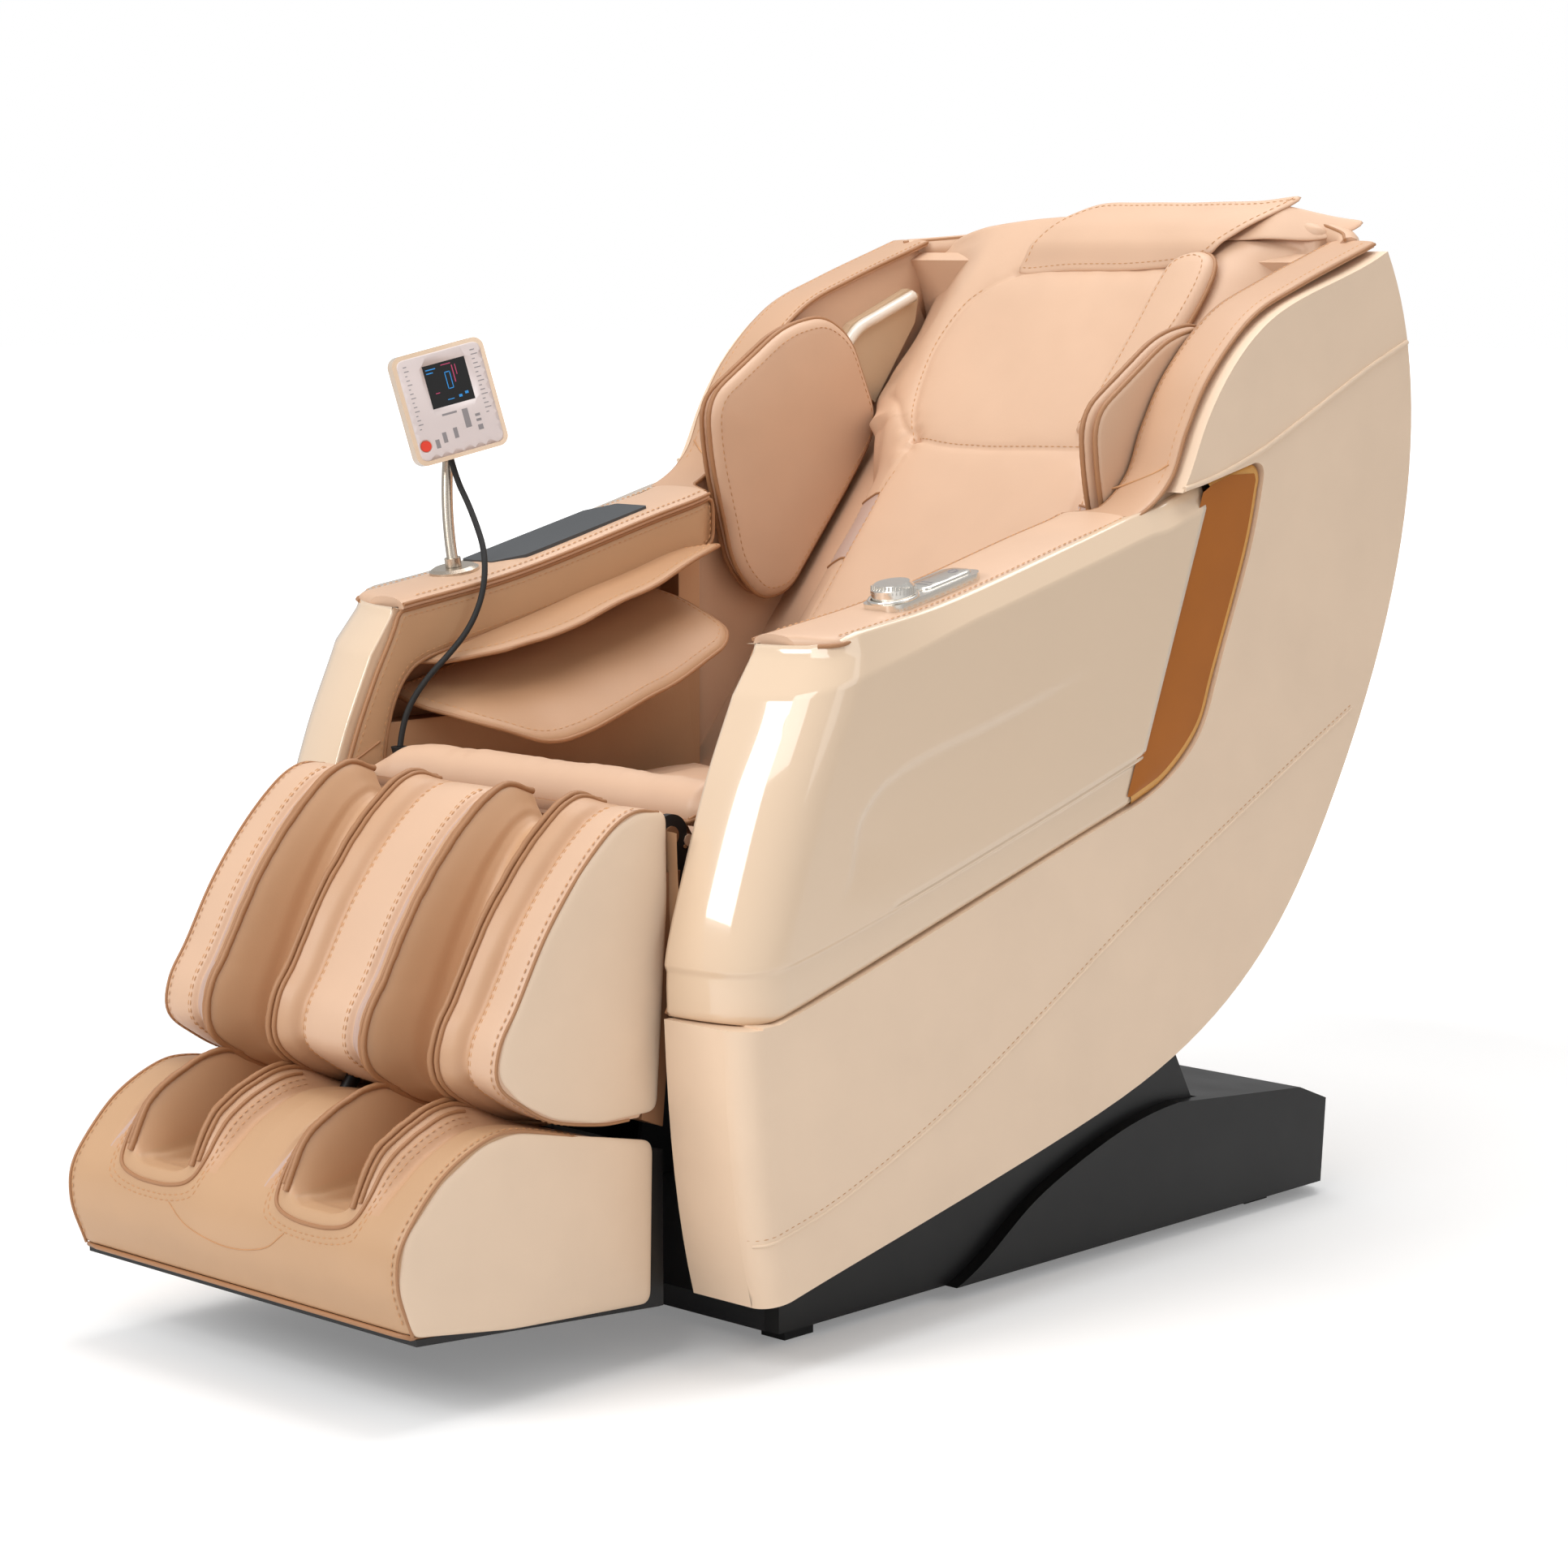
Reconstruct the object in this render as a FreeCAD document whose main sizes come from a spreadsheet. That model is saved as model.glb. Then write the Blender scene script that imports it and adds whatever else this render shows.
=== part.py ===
import FreeCAD, Part
import math
import os
import re

# Massage chair, millimetres, +Z up, the sitter faces -Y. The side drawings are Y and Z pairs, and every
# finished piece is moved by centre_shift, so that the origin lies on the floor under the chair's middle.

V = FreeCAD.Vector
doc = FreeCAD.newDocument("MassageChair")
sheet = doc.addObject("Spreadsheet::Sheet", "Sizes")

SIZES = [
    ("centre_shift", -28.0, "moves the drawings to the middle of the chair"),
    ("seam", 1.5, "gap between two casings"),
    ("seat_gap", 0.3, "gap between a piece and what carries it"),
    ("shell_outer", 395.0, "middle plane to the outside of a side shell"),
    ("shell_inner", "=shell_outer - 50", "middle plane to the inside of a side shell"),
    ("recess_floor", "=shell_inner + 20", "middle plane to the floor of the recess for the covers"),
    ("shell_wall", 24.0, "front return and back shell thickness"),
    ("cover_inner", "=shell_inner - 63", "middle plane to the inner edge of an arm cover"),
    ("cover_wall", 26.0, "front wall of an arm cover"),
    ("cover_round", 46.0, "rounding of the front corner of an arm cover"),
    ("shell_round", 30.0, "rounding of the front corner of a side shell"),
    ("groove_wide", 2.4, "shadow groove in the arm cover"),
    ("groove_deep", 3.0, "depth of the shadow groove"),
    ("accent_thick", 28.0, "accent panel"),
    ("arm_inner", "=shell_inner - 73", "middle plane to the inner face of an arm"),
    ("tunnel_deep", 60.0, "arm tunnel, measured into the arm"),
    ("trim_inner", "=shell_inner - 33", "middle plane to the inner edge of the leather edge"),
    ("trim_outer", "=shell_inner + 31", "middle plane to the outer edge of the leather edge"),
    ("trim_thick", 12.0, "leather edge and arm top"),
    ("lining_thick", 22.0, "side lining behind the shoulder pads"),
    ("speaker_thick", 12.0, "speaker panel"),
    ("back_inset", 6.0, "back shell, inside the outline of the side shells"),
    ("seat_half", "=arm_inner - 22", "half of the seat cushion"),
    ("seat_level", 450.0, "underside of the seat cushion"),
    ("seat_thick", 74.0, "seat cushion without its crown"),
    ("back_half", "=arm_inner - 58", "half of the back pads"),
    ("back_thick", 60.0, "back pads"),
    ("pan_sheet", 8.0, "seat pan"),
    ("lug_inner", "=seat_half + 2", "middle plane to the recline lugs"),
    ("lug_thick", 6.0, "recline lugs"),
    ("post_inner", "=lug_inner + lug_thick + 2", "middle plane to the pivot posts"),
    ("post_thick", 6.0, "pivot posts"),
    ("pivot_y", 200.0, "recline pivot"),
    ("pivot_z", 450.0, "recline pivot"),
    ("pivot_pin", 12.0, "radius of the recline pin"),
    ("fit", 0.05, "running clearance of a pin, on the radius"),
    ("knee_y", -318.0, "pivot of the calf rest"),
    ("knee_z", 545.0, "pivot of the calf rest"),
    ("knee_pin", 10.0, "radius of the knee pin"),
    ("rail_width", 20.0, "guide rail"),
    ("rail_depth", 56.0, "guide rail"),
    ("rail_long", 560.0, "guide rail"),
    ("rail_lip", 26.0, "lip of a guide rail that carries the back pads"),
    ("carriage_long", 130.0, "massage carriage along the rails"),
    ("node_radius", 34.0, "kneading wheels"),
    ("node_wide", 24.0, "kneading wheels"),
    ("calf_half", "=arm_inner - 10", "half of the calf and foot units, without the side panels"),
    ("side_panel", 3.7, "side panels of the calf and foot units"),
    ("trough_inner", "=calf_half - 187", "middle plane to the inner wall of a trough"),
    ("trough_outer", "=calf_half - 84", "middle plane to the outer wall of a trough"),
    ("leg_rod", 8.0, "radius of the rods that the foot unit slides on"),
    ("leg_rod_apart", 40.0, "middle plane to the axis of a leg rod"),
    ("leg_tube_wall", 4.0, "wall of the tubes around the leg rods"),
    ("roller_axle", 6.0, "radius of the axle of the sole rollers"),
    ("roller_radius", 20.0, "sole rollers"),
    ("roller_y", -520.0, "axis of the sole rollers"),
    ("roller_z", 163.0, "axis of the sole rollers"),
    ("base_half", "=post_inner + post_thick + 29", "half of the floor pan"),
    ("base_sheet", 4.0, "floor pan"),
    ("skirt_thick", 20.0, "side skirts of the base"),
    ("rear_half", "=base_half + 37", "half of the rear cover"),
    ("foot_high", 16.0, "rubber feet"),
    ("wheel_radius", 22.0, "transport wheels"),
    ("wheel_axle", 5.0, "radius of the transport axles"),
    ("cord_size", 7.0, "tablet cord"),
    ("plate_thick", 9.0, "control plate"),
    ("knob_radius", 23.0, "control knob"),
    ("knob_high", 17.0, "control knob"),
    ("disc_radius", 29.0, "foot of the tablet stand"),
    ("disc_thick", 9.0, "foot of the tablet stand"),
    ("stand_tube", 6.5, "radius of the tablet arm"),
    ("tablet_wide", 112.0, "tablet"),
    ("tablet_high", 128.0, "tablet"),
    ("tablet_thick", 20.0, "tablet"),
    ("drive_pin", 8.0, "radius of the pins that hold the drives"),
]
for row, (alias, value, meaning) in enumerate(SIZES, start=1):
    sheet.set("A%d" % row, meaning)
    sheet.set("B%d" % row, str(value))
    sheet.setAlias("B%d" % row, alias)
doc.recompute()
size = {alias: float(sheet.get(alias)) for alias, value, meaning in SIZES}
parts = []


# Helpers

def bind(thing, prop, text):
    """Ties a property to the sheet; the text names cells by their alias."""
    words = re.sub(r"[a-z_]+", lambda m: "Sizes." + m.group(0) if m.group(0) in size else m.group(0), text)
    thing.setExpression(prop, words)


def publish(thing, label):
    """Makes an object one of the chair's pieces."""
    thing.Label = label
    known = dict((path.lstrip("."), text) for path, text in thing.ExpressionEngine)
    place = known.get("Placement.Base.y", repr(thing.Placement.Base.y))
    thing.setExpression("Placement.Base.y", "%s + Sizes.centre_shift" % place)
    parts.append(thing)
    return thing


def shift(points, distance):
    """Moves a drawn line sideways, to its right-hand side for a positive distance."""
    moved = []
    for index, (y, z) in enumerate(points):
        before = points[max(index - 1, 0)]
        after = points[min(index + 1, len(points) - 1)]
        along = (after[0] - before[0], after[1] - before[1])
        length = math.hypot(*along)
        moved.append((y + along[1] / length * distance, z - along[0] / length * distance))
    return moved


def disc_runs(centre, radius):
    return ["circle", centre, radius]


def ring_of(points):
    """Straight sides through the points, as runs."""
    return [[point, points[(index + 1) % len(points)]] for index, point in enumerate(points)]


def run_edges(runs, place):
    """Edges of a closed outline: a run of two points is straight, a longer one is a smooth curve."""
    if runs[0] == "circle":
        return [Part.Circle(place(*runs[1]), V(0, 0, 1), runs[2])]
    edges = []
    last = None
    first = place(*runs[0][0])
    for run in runs:
        spots = [place(*point) for point in run]
        if last is not None and (spots[0] - last).Length > 1e-6:
            edges.append(Part.LineSegment(last, spots[0]))
        if len(spots) == 2:
            edges.append(Part.LineSegment(spots[0], spots[1]))
        elif len(spots) > 2:
            curve = Part.BSplineCurve()
            curve.interpolate(spots)
            edges.append(curve)
        last = spots[-1]
    if (last - first).Length > 1e-6:
        edges.append(Part.LineSegment(last, first))
    return edges


def origin_plane(body, role):
    return [face for face in body.Origin.OriginFeatures if face.Role == role][0]


def side_sketch(body, name, runs, low):
    """Side drawing, in Y and Z, on a plane at X = low."""
    sketch = body.newObject("Sketcher::SketchObject", name)
    sketch.AttachmentSupport = (origin_plane(body, "YZ_Plane"), "")
    sketch.MapMode = "FlatFace"
    for edge in run_edges(runs, lambda y, z: V(y, z, 0)):
        sketch.addGeometry(edge, False)
    bind(sketch, "AttachmentOffset.Base.z", low)
    return sketch


def span(sign, low, high):
    """The same two distances from the middle plane, on either side of the chair."""
    if sign > 0:
        return low, high
    return "-(%s)" % high, "-(%s)" % low


def add_slab(body, name, runs, low, high):
    pad = body.newObject("PartDesign::Pad", name)
    pad.Profile = side_sketch(body, name + "Drawing", runs, low)
    bind(pad, "Length", "(%s)-(%s)" % (high, low))
    body.Tip = pad
    return pad


def cut_slab(body, name, runs, low, high):
    """Removes the drawn area between X = low and X = high."""
    cut = body.newObject("PartDesign::Pocket", name)
    cut.Profile = side_sketch(body, name + "Drawing", runs, low)
    bind(cut, "Length", "(%s)-(%s)" % (high, low))
    cut.Reversed = True
    body.Tip = cut
    return cut


def slab_body(name, runs, low, high):
    body = doc.addObject("PartDesign::Body", name)
    add_slab(body, name + "Slab", runs, low, high)
    return body


def box(name, low, high):
    """Box between two corners, each given as three texts for the sheet."""
    solid = doc.addObject("Part::Box", name)
    for axis, prop, a, b in zip("xyz", ("Length", "Width", "Height"), low, high):
        bind(solid, "Placement.Base." + axis, a)
        bind(solid, prop, "(%s)-(%s)" % (b, a))
    return solid


def rod(name, start, length, radius, axis="x"):
    """Cylinder from a start point along X, Y or Z."""
    solid = doc.addObject("Part::Cylinder", name)
    turn = {"x": FreeCAD.Rotation(V(0, 1, 0), 90), "y": FreeCAD.Rotation(V(1, 0, 0), -90),
            "z": FreeCAD.Rotation()}[axis]
    solid.Placement = FreeCAD.Placement(V(0, 0, 0), turn)
    bind(solid, "Radius", radius)
    bind(solid, "Height", length)
    for letter, text in zip("xyz", start):
        bind(solid, "Placement.Base." + letter, text)
    return solid


def join(name, solids):
    whole = doc.addObject("Part::MultiFuse", name)
    whole.Shapes = solids
    return whole


def cut(name, base, tool):
    result = doc.addObject("Part::Cut", name)
    result.Base = base
    result.Tool = tool
    return result


def group(name, solids):
    """Separate solids under one name."""
    whole = doc.addObject("Part::Compound", name)
    whole.Links = solids
    return whole


def feature(name, shape):
    solid = doc.addObject("Part::Feature", name)
    solid.Shape = shape
    return solid


def frame_at(origin, across, up):
    """Placement whose local X runs across, local Y up, and local Z out of both."""
    across = V(*across).normalize()
    out = across.cross(V(*up)).normalize()
    up = out.cross(across)
    matrix = FreeCAD.Matrix(across.x, up.x, out.x, origin[0], across.y, up.y, out.y, origin[1],
                            across.z, up.z, out.z, origin[2], 0, 0, 0, 1)
    return FreeCAD.Placement(matrix)


def polygon_area(points):
    total = 0.0
    for index, (ax, ay) in enumerate(points):
        bx, by = points[(index + 1) % len(points)]
        total += ax * by - ay * bx
    return total / 2


def inset_corners(points, inset):
    """Moves each side of an anticlockwise outline inwards."""
    count = len(points)
    lines = []
    for index in range(count):
        ax, ay = points[index]
        bx, by = points[(index + 1) % count]
        length = math.hypot(bx - ax, by - ay)
        nx, ny = -(by - ay) / length, (bx - ax) / length
        lines.append((ax + nx * inset, ay + ny * inset, (bx - ax) / length, (by - ay) / length))
    corners = []
    for index in range(count):
        px, py, ux, uy = lines[index - 1]
        qx, qy, vx, vy = lines[index]
        turn = ux * vy - uy * vx
        step = ((qx - px) * vy - (qy - py) * vx) / turn
        corners.append((px + ux * step, py + uy * step))
    return corners


def rounded_wire(points, radius, height):
    """Straight sides joined by tangent arcs, at one height."""
    count = len(points)
    edges = []
    ends = []
    for index in range(count):
        corner = V(points[index][0], points[index][1], height)
        before = V(points[index - 1][0], points[index - 1][1], height)
        after = V(points[(index + 1) % count][0], points[(index + 1) % count][1], height)
        into = (before - corner).normalize()
        away = (after - corner).normalize()
        half = into.getAngle(away) / 2
        reach = min(radius / math.tan(half), 0.45 * (before - corner).Length, 0.45 * (after - corner).Length)
        middle = corner + (into + away).normalize() * (reach / math.cos(half) - reach * math.tan(half))
        ends.append((corner + into * reach, middle, corner + away * reach))
    for index in range(count):
        start, middle, finish = ends[index]
        edges.append(Part.Arc(start, middle, finish).toShape())
        edges.append(Part.LineSegment(finish, ends[(index + 1) % count][0]).toShape())
    return Part.Wire(edges)


def cushion(points, radius, thick, crown, placement, draw=6.0):
    """Closed pad: drawn-in lower edge, full sides, rounded shoulders and a crown on its local Z side."""
    outline = sum(math.dist(point, points[index - 1]) for index, point in enumerate(points))
    room = 0.8 * abs(polygon_area(points)) / outline
    levels = ((0.0, draw), (0.22 * thick, 0.0), (0.7 * thick, 0.0),
              (thick, min(0.24 * thick + draw, 0.4 * room)), (thick + crown, min(0.9 * thick + 2 * draw, room)))
    wires = [rounded_wire(inset_corners(points, inset), max(radius - 0.6 * inset, 4.0), height)
             for height, inset in levels]
    solid = Part.makeLoft(wires, True, False)
    solid.Placement = placement
    return solid


# Side drawings, as Y and Z pairs

FRONT = [(-366, 371), (-364, 430), (-340, 510), (-305, 606), (-268, 685)]
LOWER_FRONT = [(-325, 74), (-350, 190), (-362, 300), (-366, 367)]
TOP = [(-240, 744), (-51, 773), (161, 823), (270, 850), (325, 886), (353, 940), (395, 1000),
       (471, 1063), (560, 1098), (705, 1144)]
ARM_TOP_POINTS = 4
REAR = [(709, 1131), (752, 1030), (764, 930), (722, 705), (631, 518), (509, 355), (345, 246),
        (131, 178), (-134, 117), (-325, 74)]
BACK_POINTS = 7
COVER_LOW = [(246, 531), (-19, 455), (-220, 397), (-316, 372)]
ACCENT_REAR = [(474, 879), (452, 799), (396, 667), (368, 605), (310, 556), (249, 532)]
GROOVE = [(-390, 423), (-316, 426), (-147, 466), (113, 539), (270, 586)]
SKIRT_TOP = [(-233, 66), (-134, 118), (0, 148), (131, 174), (243, 188), (347, 198), (432, 213)]
CALF_FRONT = [(-554, 300), (-575, 336), (-553, 397), (-509, 472), (-464, 532), (-419, 567), (-374, 579)]
SOLE_LINE = [(-680, 197), (-672, 195.6), (-549, 180.4), (-420, 174)]
FOOT_FRONT = [(-690, 96), (-708, 150), (-700, 196), (-650, 246), (-597, 275), (-554, 280), (-489, 266), (-375, 236)]


def curve_through(points):
    curve = Part.BSplineCurve()
    curve.interpolate([V(y, z, 0) for y, z in points])
    return curve


def depth_on(curve, y):
    """Parameter at which a curve that runs towards the back reaches a depth."""
    low, high = curve.FirstParameter, curve.LastParameter
    for step in range(40):
        middle = (low + high) / 2
        if curve.value(middle).x < y:
            low = middle
        else:
            high = middle
    return low


def arm_line(depth, front=None, count=9):
    """Points on the arm top's side line, a distance below the leather's face, from a given depth."""
    curve = curve_through(shift(TOP, depth)[:ARM_TOP_POINTS])
    start = curve.FirstParameter if front is None else depth_on(curve, front)
    steps = [start + (curve.LastParameter - start) * index / (count - 1) for index in range(count)]
    return [(curve.value(step).x, curve.value(step).y) for step in steps]


def shoulder_line(depth):
    return shift(TOP, depth)[ARM_TOP_POINTS - 1:]


FRONT.append(arm_line(size["trim_thick"])[0])
SIDES = (("left", 1), ("right", -1))


BACK_LOW = (182.0, 529.0)
BACK_HIGH = (686.0, 1140.0)
back_length = math.hypot(BACK_HIGH[0] - BACK_LOW[0], BACK_HIGH[1] - BACK_LOW[1])
back_along = ((BACK_HIGH[0] - BACK_LOW[0]) / back_length, (BACK_HIGH[1] - BACK_LOW[1]) / back_length)


def back_point(along, behind):
    """Point of the back drawing: distance up the back, and distance behind its surface."""
    return (BACK_LOW[0] + back_along[0] * along + back_along[1] * behind,
            BACK_LOW[1] + back_along[1] * along - back_along[0] * behind)


def back_box(along_low, along_high, behind_low, behind_high):
    corners = ((along_low, behind_low), (along_high, behind_low), (along_high, behind_high), (along_low, behind_high))
    return ring_of([back_point(*corner) for corner in corners])


# Casings that the sitter's side of the capsule is made of

def front_behind(depth):
    """The front line of the arm cover, a distance further back, ending under the arm top."""
    line = shift(FRONT, depth)
    return line[:-1] + [arm_line(size["trim_thick"], line[-1][0])[0]]


def edges_where(body, on_edge):
    """Names of the edges of a body whose ends and middle all pass a test."""
    names = []
    for index, edge in enumerate(body.Tip.Shape.Edges, start=1):
        middle = edge.valueAt((edge.FirstParameter + edge.LastParameter) / 2)
        if all(on_edge(spot) for spot in [vertex.Point for vertex in edge.Vertexes] + [middle]):
            names.append("Edge%d" % index)
    return names


def soften(body, kind, name, prop, amount, on_edge):
    """Rounds or chamfers chosen edges of a body."""
    doc.recompute()
    base = (body.Tip, edges_where(body, on_edge))
    dressing = body.newObject("PartDesign::" + kind, name)
    dressing.Base = base
    bind(dressing, prop, amount)
    body.Tip = dressing
    return dressing


def side_shell(side, sign):
    arm = arm_line(size["trim_thick"], front_behind(size["cover_wall"] + size["seam"])[-1][0])
    shoulder = shoulder_line(size["trim_thick"])
    front = front_behind(size["cover_wall"] + size["seam"])
    outline = [LOWER_FRONT, [LOWER_FRONT[-1], (front[0][0], LOWER_FRONT[-1][1])], front, arm, shoulder,
               [shoulder[-1]] + REAR[1:]]
    low, high = span(sign, "shell_inner", "shell_outer")
    body = slab_body("SideShell" + side, outline, low, high)
    accent = shift(ACCENT_REAR, -size["seam"])
    recess = [[(-420, 369), (-316, 369)], [(-316, 369), (-220, 394), (-19, 452), (246, 528)],
              [(246, 528)] + accent[-2::-1], [accent[0], (473, 894), (460, 898)],
              [(460, 898), (383, 881)], [(383, 881), (296, 864)], [(296, 864), (250, 900)],
              [(250, 900), (-420, 900)]]
    low, high = span(sign, "recess_floor", "shell_outer + 1")
    cut_slab(body, "Recess" + side, recess, low, high)
    behind = [(y + size["shell_wall"], z + 4) for y, z in LOWER_FRONT]
    behind[-1] = (behind[-1][0], LOWER_FRONT[-1][1])
    returned = [LOWER_FRONT, [LOWER_FRONT[-1], behind[-1]], behind[::-1]]
    low, high = span(sign, "cover_inner", "shell_inner")
    add_slab(body, "FrontReturn" + side, returned, low, high)
    outer = sign * size["shell_outer"]
    front_edge = curve_through([(z, y) for y, z in LOWER_FRONT]).toShape()

    def on_front(spot):
        return abs(spot.x - outer) < 0.01 and front_edge.distToShape(Part.Vertex(V(spot.z, spot.y, 0)))[0] < 0.5

    soften(body, "Fillet", "FrontRound" + side, "Radius", "shell_round", on_front)
    return publish(body, "side_shell_" + side)


def arm_cover(side, sign):
    arm = arm_line(size["trim_thick"])
    outline = [FRONT, arm, [arm[-1], (296, 844)], [(296, 844), (318, 856.5)], [(318, 856.5), (382, 879.5)],
               [(382, 879.5), (246, 531)], COVER_LOW, [COVER_LOW[-1], FRONT[0]]]
    low, high = span(sign, "cover_inner", "shell_outer")
    body = slab_body("ArmCover" + side, outline, low, high)
    inner = front_behind(size["cover_wall"])
    hollow = [[(inner[0][0], 340), inner[0]], inner, [inner[-1], (-180, 800)], [(-180, 800), (420, 940)],
              [(420, 940), (420, 340)]]
    low, high = span(sign, "cover_inner - 1", "recess_floor + seat_gap")
    cut_slab(body, "CoverHollow" + side, hollow, low, high)
    outer = sign * size["shell_outer"]
    front_line = curve_through([(z, y) for y, z in FRONT]).toShape()

    def on_front(spot):
        return abs(spot.x - outer) < 0.01 and front_line.distToShape(Part.Vertex(V(spot.z, spot.y, 0)))[0] < 0.5

    soften(body, "Fillet", "CoverRound" + side, "Radius", "cover_round", on_front)
    groove = [shift(GROOVE, size["groove_wide"] / 2), shift(GROOVE, -size["groove_wide"] / 2)[::-1]]
    low, high = span(sign, "shell_outer - groove_deep", "shell_outer + 1")
    cut_slab(body, "CoverGroove" + side, groove, low, high)
    return publish(body, "arm_cover_" + side)


def accent_panel(side, sign):
    outline = [[(384.5, 880), (457, 895.5)], [(457, 895.5), (470, 891), (474, 879)], ACCENT_REAR,
               [ACCENT_REAR[-1], (384.5, 880)]]
    low, high = span(sign, "recess_floor + seat_gap", "recess_floor + seat_gap + accent_thick")
    return slab_body("Accent" + side, outline, low, high)


def edge_trim(side, sign):
    """Leather edge along the arm top and the shoulder, wider on the arm."""
    arm, shoulder = arm_line(0), shoulder_line(0)
    arm_under = arm_line(size["trim_thick"] - size["seat_gap"])
    shoulder_under = shoulder_line(size["trim_thick"] - size["seat_gap"])
    low, high = span(sign, "trim_inner", "trim_outer")
    body = slab_body("EdgeTrim" + side, [arm, shoulder, shoulder_under[::-1], arm_under[::-1]], low, high)
    low, high = span(sign, "arm_inner", "trim_inner")
    add_slab(body, "ArmTop" + side, [arm, arm_under[::-1]], low, high)
    return body


def arm_rest(side, sign):
    front = front_behind(size["cover_wall"] + size["seam"])
    top = arm_line(size["trim_thick"], front[-1][0])
    outline = [[(273, 430), front[0]], front, top, [top[-1], (273, 430)]]
    low, high = span(sign, "arm_inner", "shell_inner - seat_gap")
    body = slab_body("ArmRest" + side, outline, low, high)
    opening = [[(236, 604), (-256, 604)], [(-256, 604), (-246, 660), (-212, 700), (-154, 716)],
               [(-154, 716), (23, 750), (236, 797)], [(236, 797), (236, 604)]]
    low, high = span(sign, "arm_inner - 1", "arm_inner + tunnel_deep")
    cut_slab(body, "Tunnel" + side, opening, low, high)
    return publish(body, "arm_rest_" + side)


def side_lining(side, sign):
    shoulder = shoulder_line(size["trim_thick"] + size["seat_gap"])
    rear = shift(REAR, size["back_inset"] + size["shell_wall"] + size["seat_gap"])[:BACK_POINTS]
    shoulder = [(276, shoulder[0][1])] + shoulder[1:-1] + [(rear[0][0], rear[0][1] + 2)]
    outline = [[(276, 430), shoulder[0]], shoulder, [shoulder[-1], rear[0]], rear, [rear[-1], (276, 430)]]
    low, high = span(sign, "shell_inner - seat_gap - lining_thick", "shell_inner - seat_gap")
    body = slab_body("SideLining" + side, outline, low, high)
    low, high = span(sign, "back_half + 23", "shell_inner - seat_gap - lining_thick + 1")
    add_slab(body, "BackGusset" + side, back_box(120, 560, 84, 98), low, high)
    low, high = span(sign, "back_half + 23", "shell_inner - 3 * seat_gap - lining_thick - speaker_thick")
    add_slab(body, "HeadGusset" + side, back_box(586, 720, 30, 44), low, high)
    return body


def speaker_panel(side, sign):
    outline = [[(520, 1000), (556, 1040)], [(556, 1040), (664, 1083)], [(664, 1083), (683, 1076)],
               [(683, 1076), (676, 1040)], [(676, 1040), (600, 940)], [(600, 940), (520, 1000)]]
    face = "shell_inner - seat_gap - lining_thick - seat_gap"
    low, high = span(sign, face + " - speaker_thick", face)
    return slab_body("Speaker" + side, outline, low, high)


for side, sign in SIDES:
    side_shell(side, sign)
    arm_cover(side, sign)
    arm_rest(side, sign)
publish(group("AccentPanels", [accent_panel(side, sign) for side, sign in SIDES]), "accent_panels")
publish(group("EdgeTrims", [edge_trim(side, sign) for side, sign in SIDES]), "edge_trims")
publish(group("SideLinings", [side_lining(side, sign) for side, sign in SIDES]), "side_linings")
publish(group("SpeakerPanels", [speaker_panel(side, sign) for side, sign in SIDES]), "speaker_panels")

back_outer = shift(REAR, size["back_inset"])[:BACK_POINTS]
back_inner = shift(REAR, size["back_inset"] + size["shell_wall"])[:BACK_POINTS]
back_shell = slab_body("BackShell", [back_outer, back_inner[::-1]],
                       "-(shell_inner - seat_gap)", "shell_inner - seat_gap")
publish(back_shell, "back_shell")


# Frames inside the capsule: seat pan with lugs, rails and the carriage

DRIVE_FOOT = (120.0, 80.0)
DRIVE_HEAD = (-60.0, 396.0)
LEG_FOOT = (-60.0, 380.0)
LEG_HEAD = (-300.0, 330.0)


def clevis(name, x, spot, seat, reach=12.0):
    """Two ears and a pin that carry a drive; seat lists the ears' root corners."""
    y, z = spot
    pieces = [rod(name + "Pin", (str(x - 14), str(y), str(z)), "28", "drive_pin")]
    for edge, low in (("a", x - 14), ("b", x + 9)):
        spots = seat[:1] + [(y - reach, z), (y - reach * 0.7, z + reach * 0.7 * seat[2]), (y, z + reach * seat[2]),
                            (y + reach * 0.7, z + reach * 0.7 * seat[2]), (y + reach, z)] + seat[1:2]
        pieces.append(slab_body(name + edge, ring_of(spots), str(low), str(low + 5)))
    return pieces


rail_start = 30.0
rail_front = size["back_thick"] + size["seat_gap"]
RAIL_INNER = "back_half + seat_gap * 4"


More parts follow.
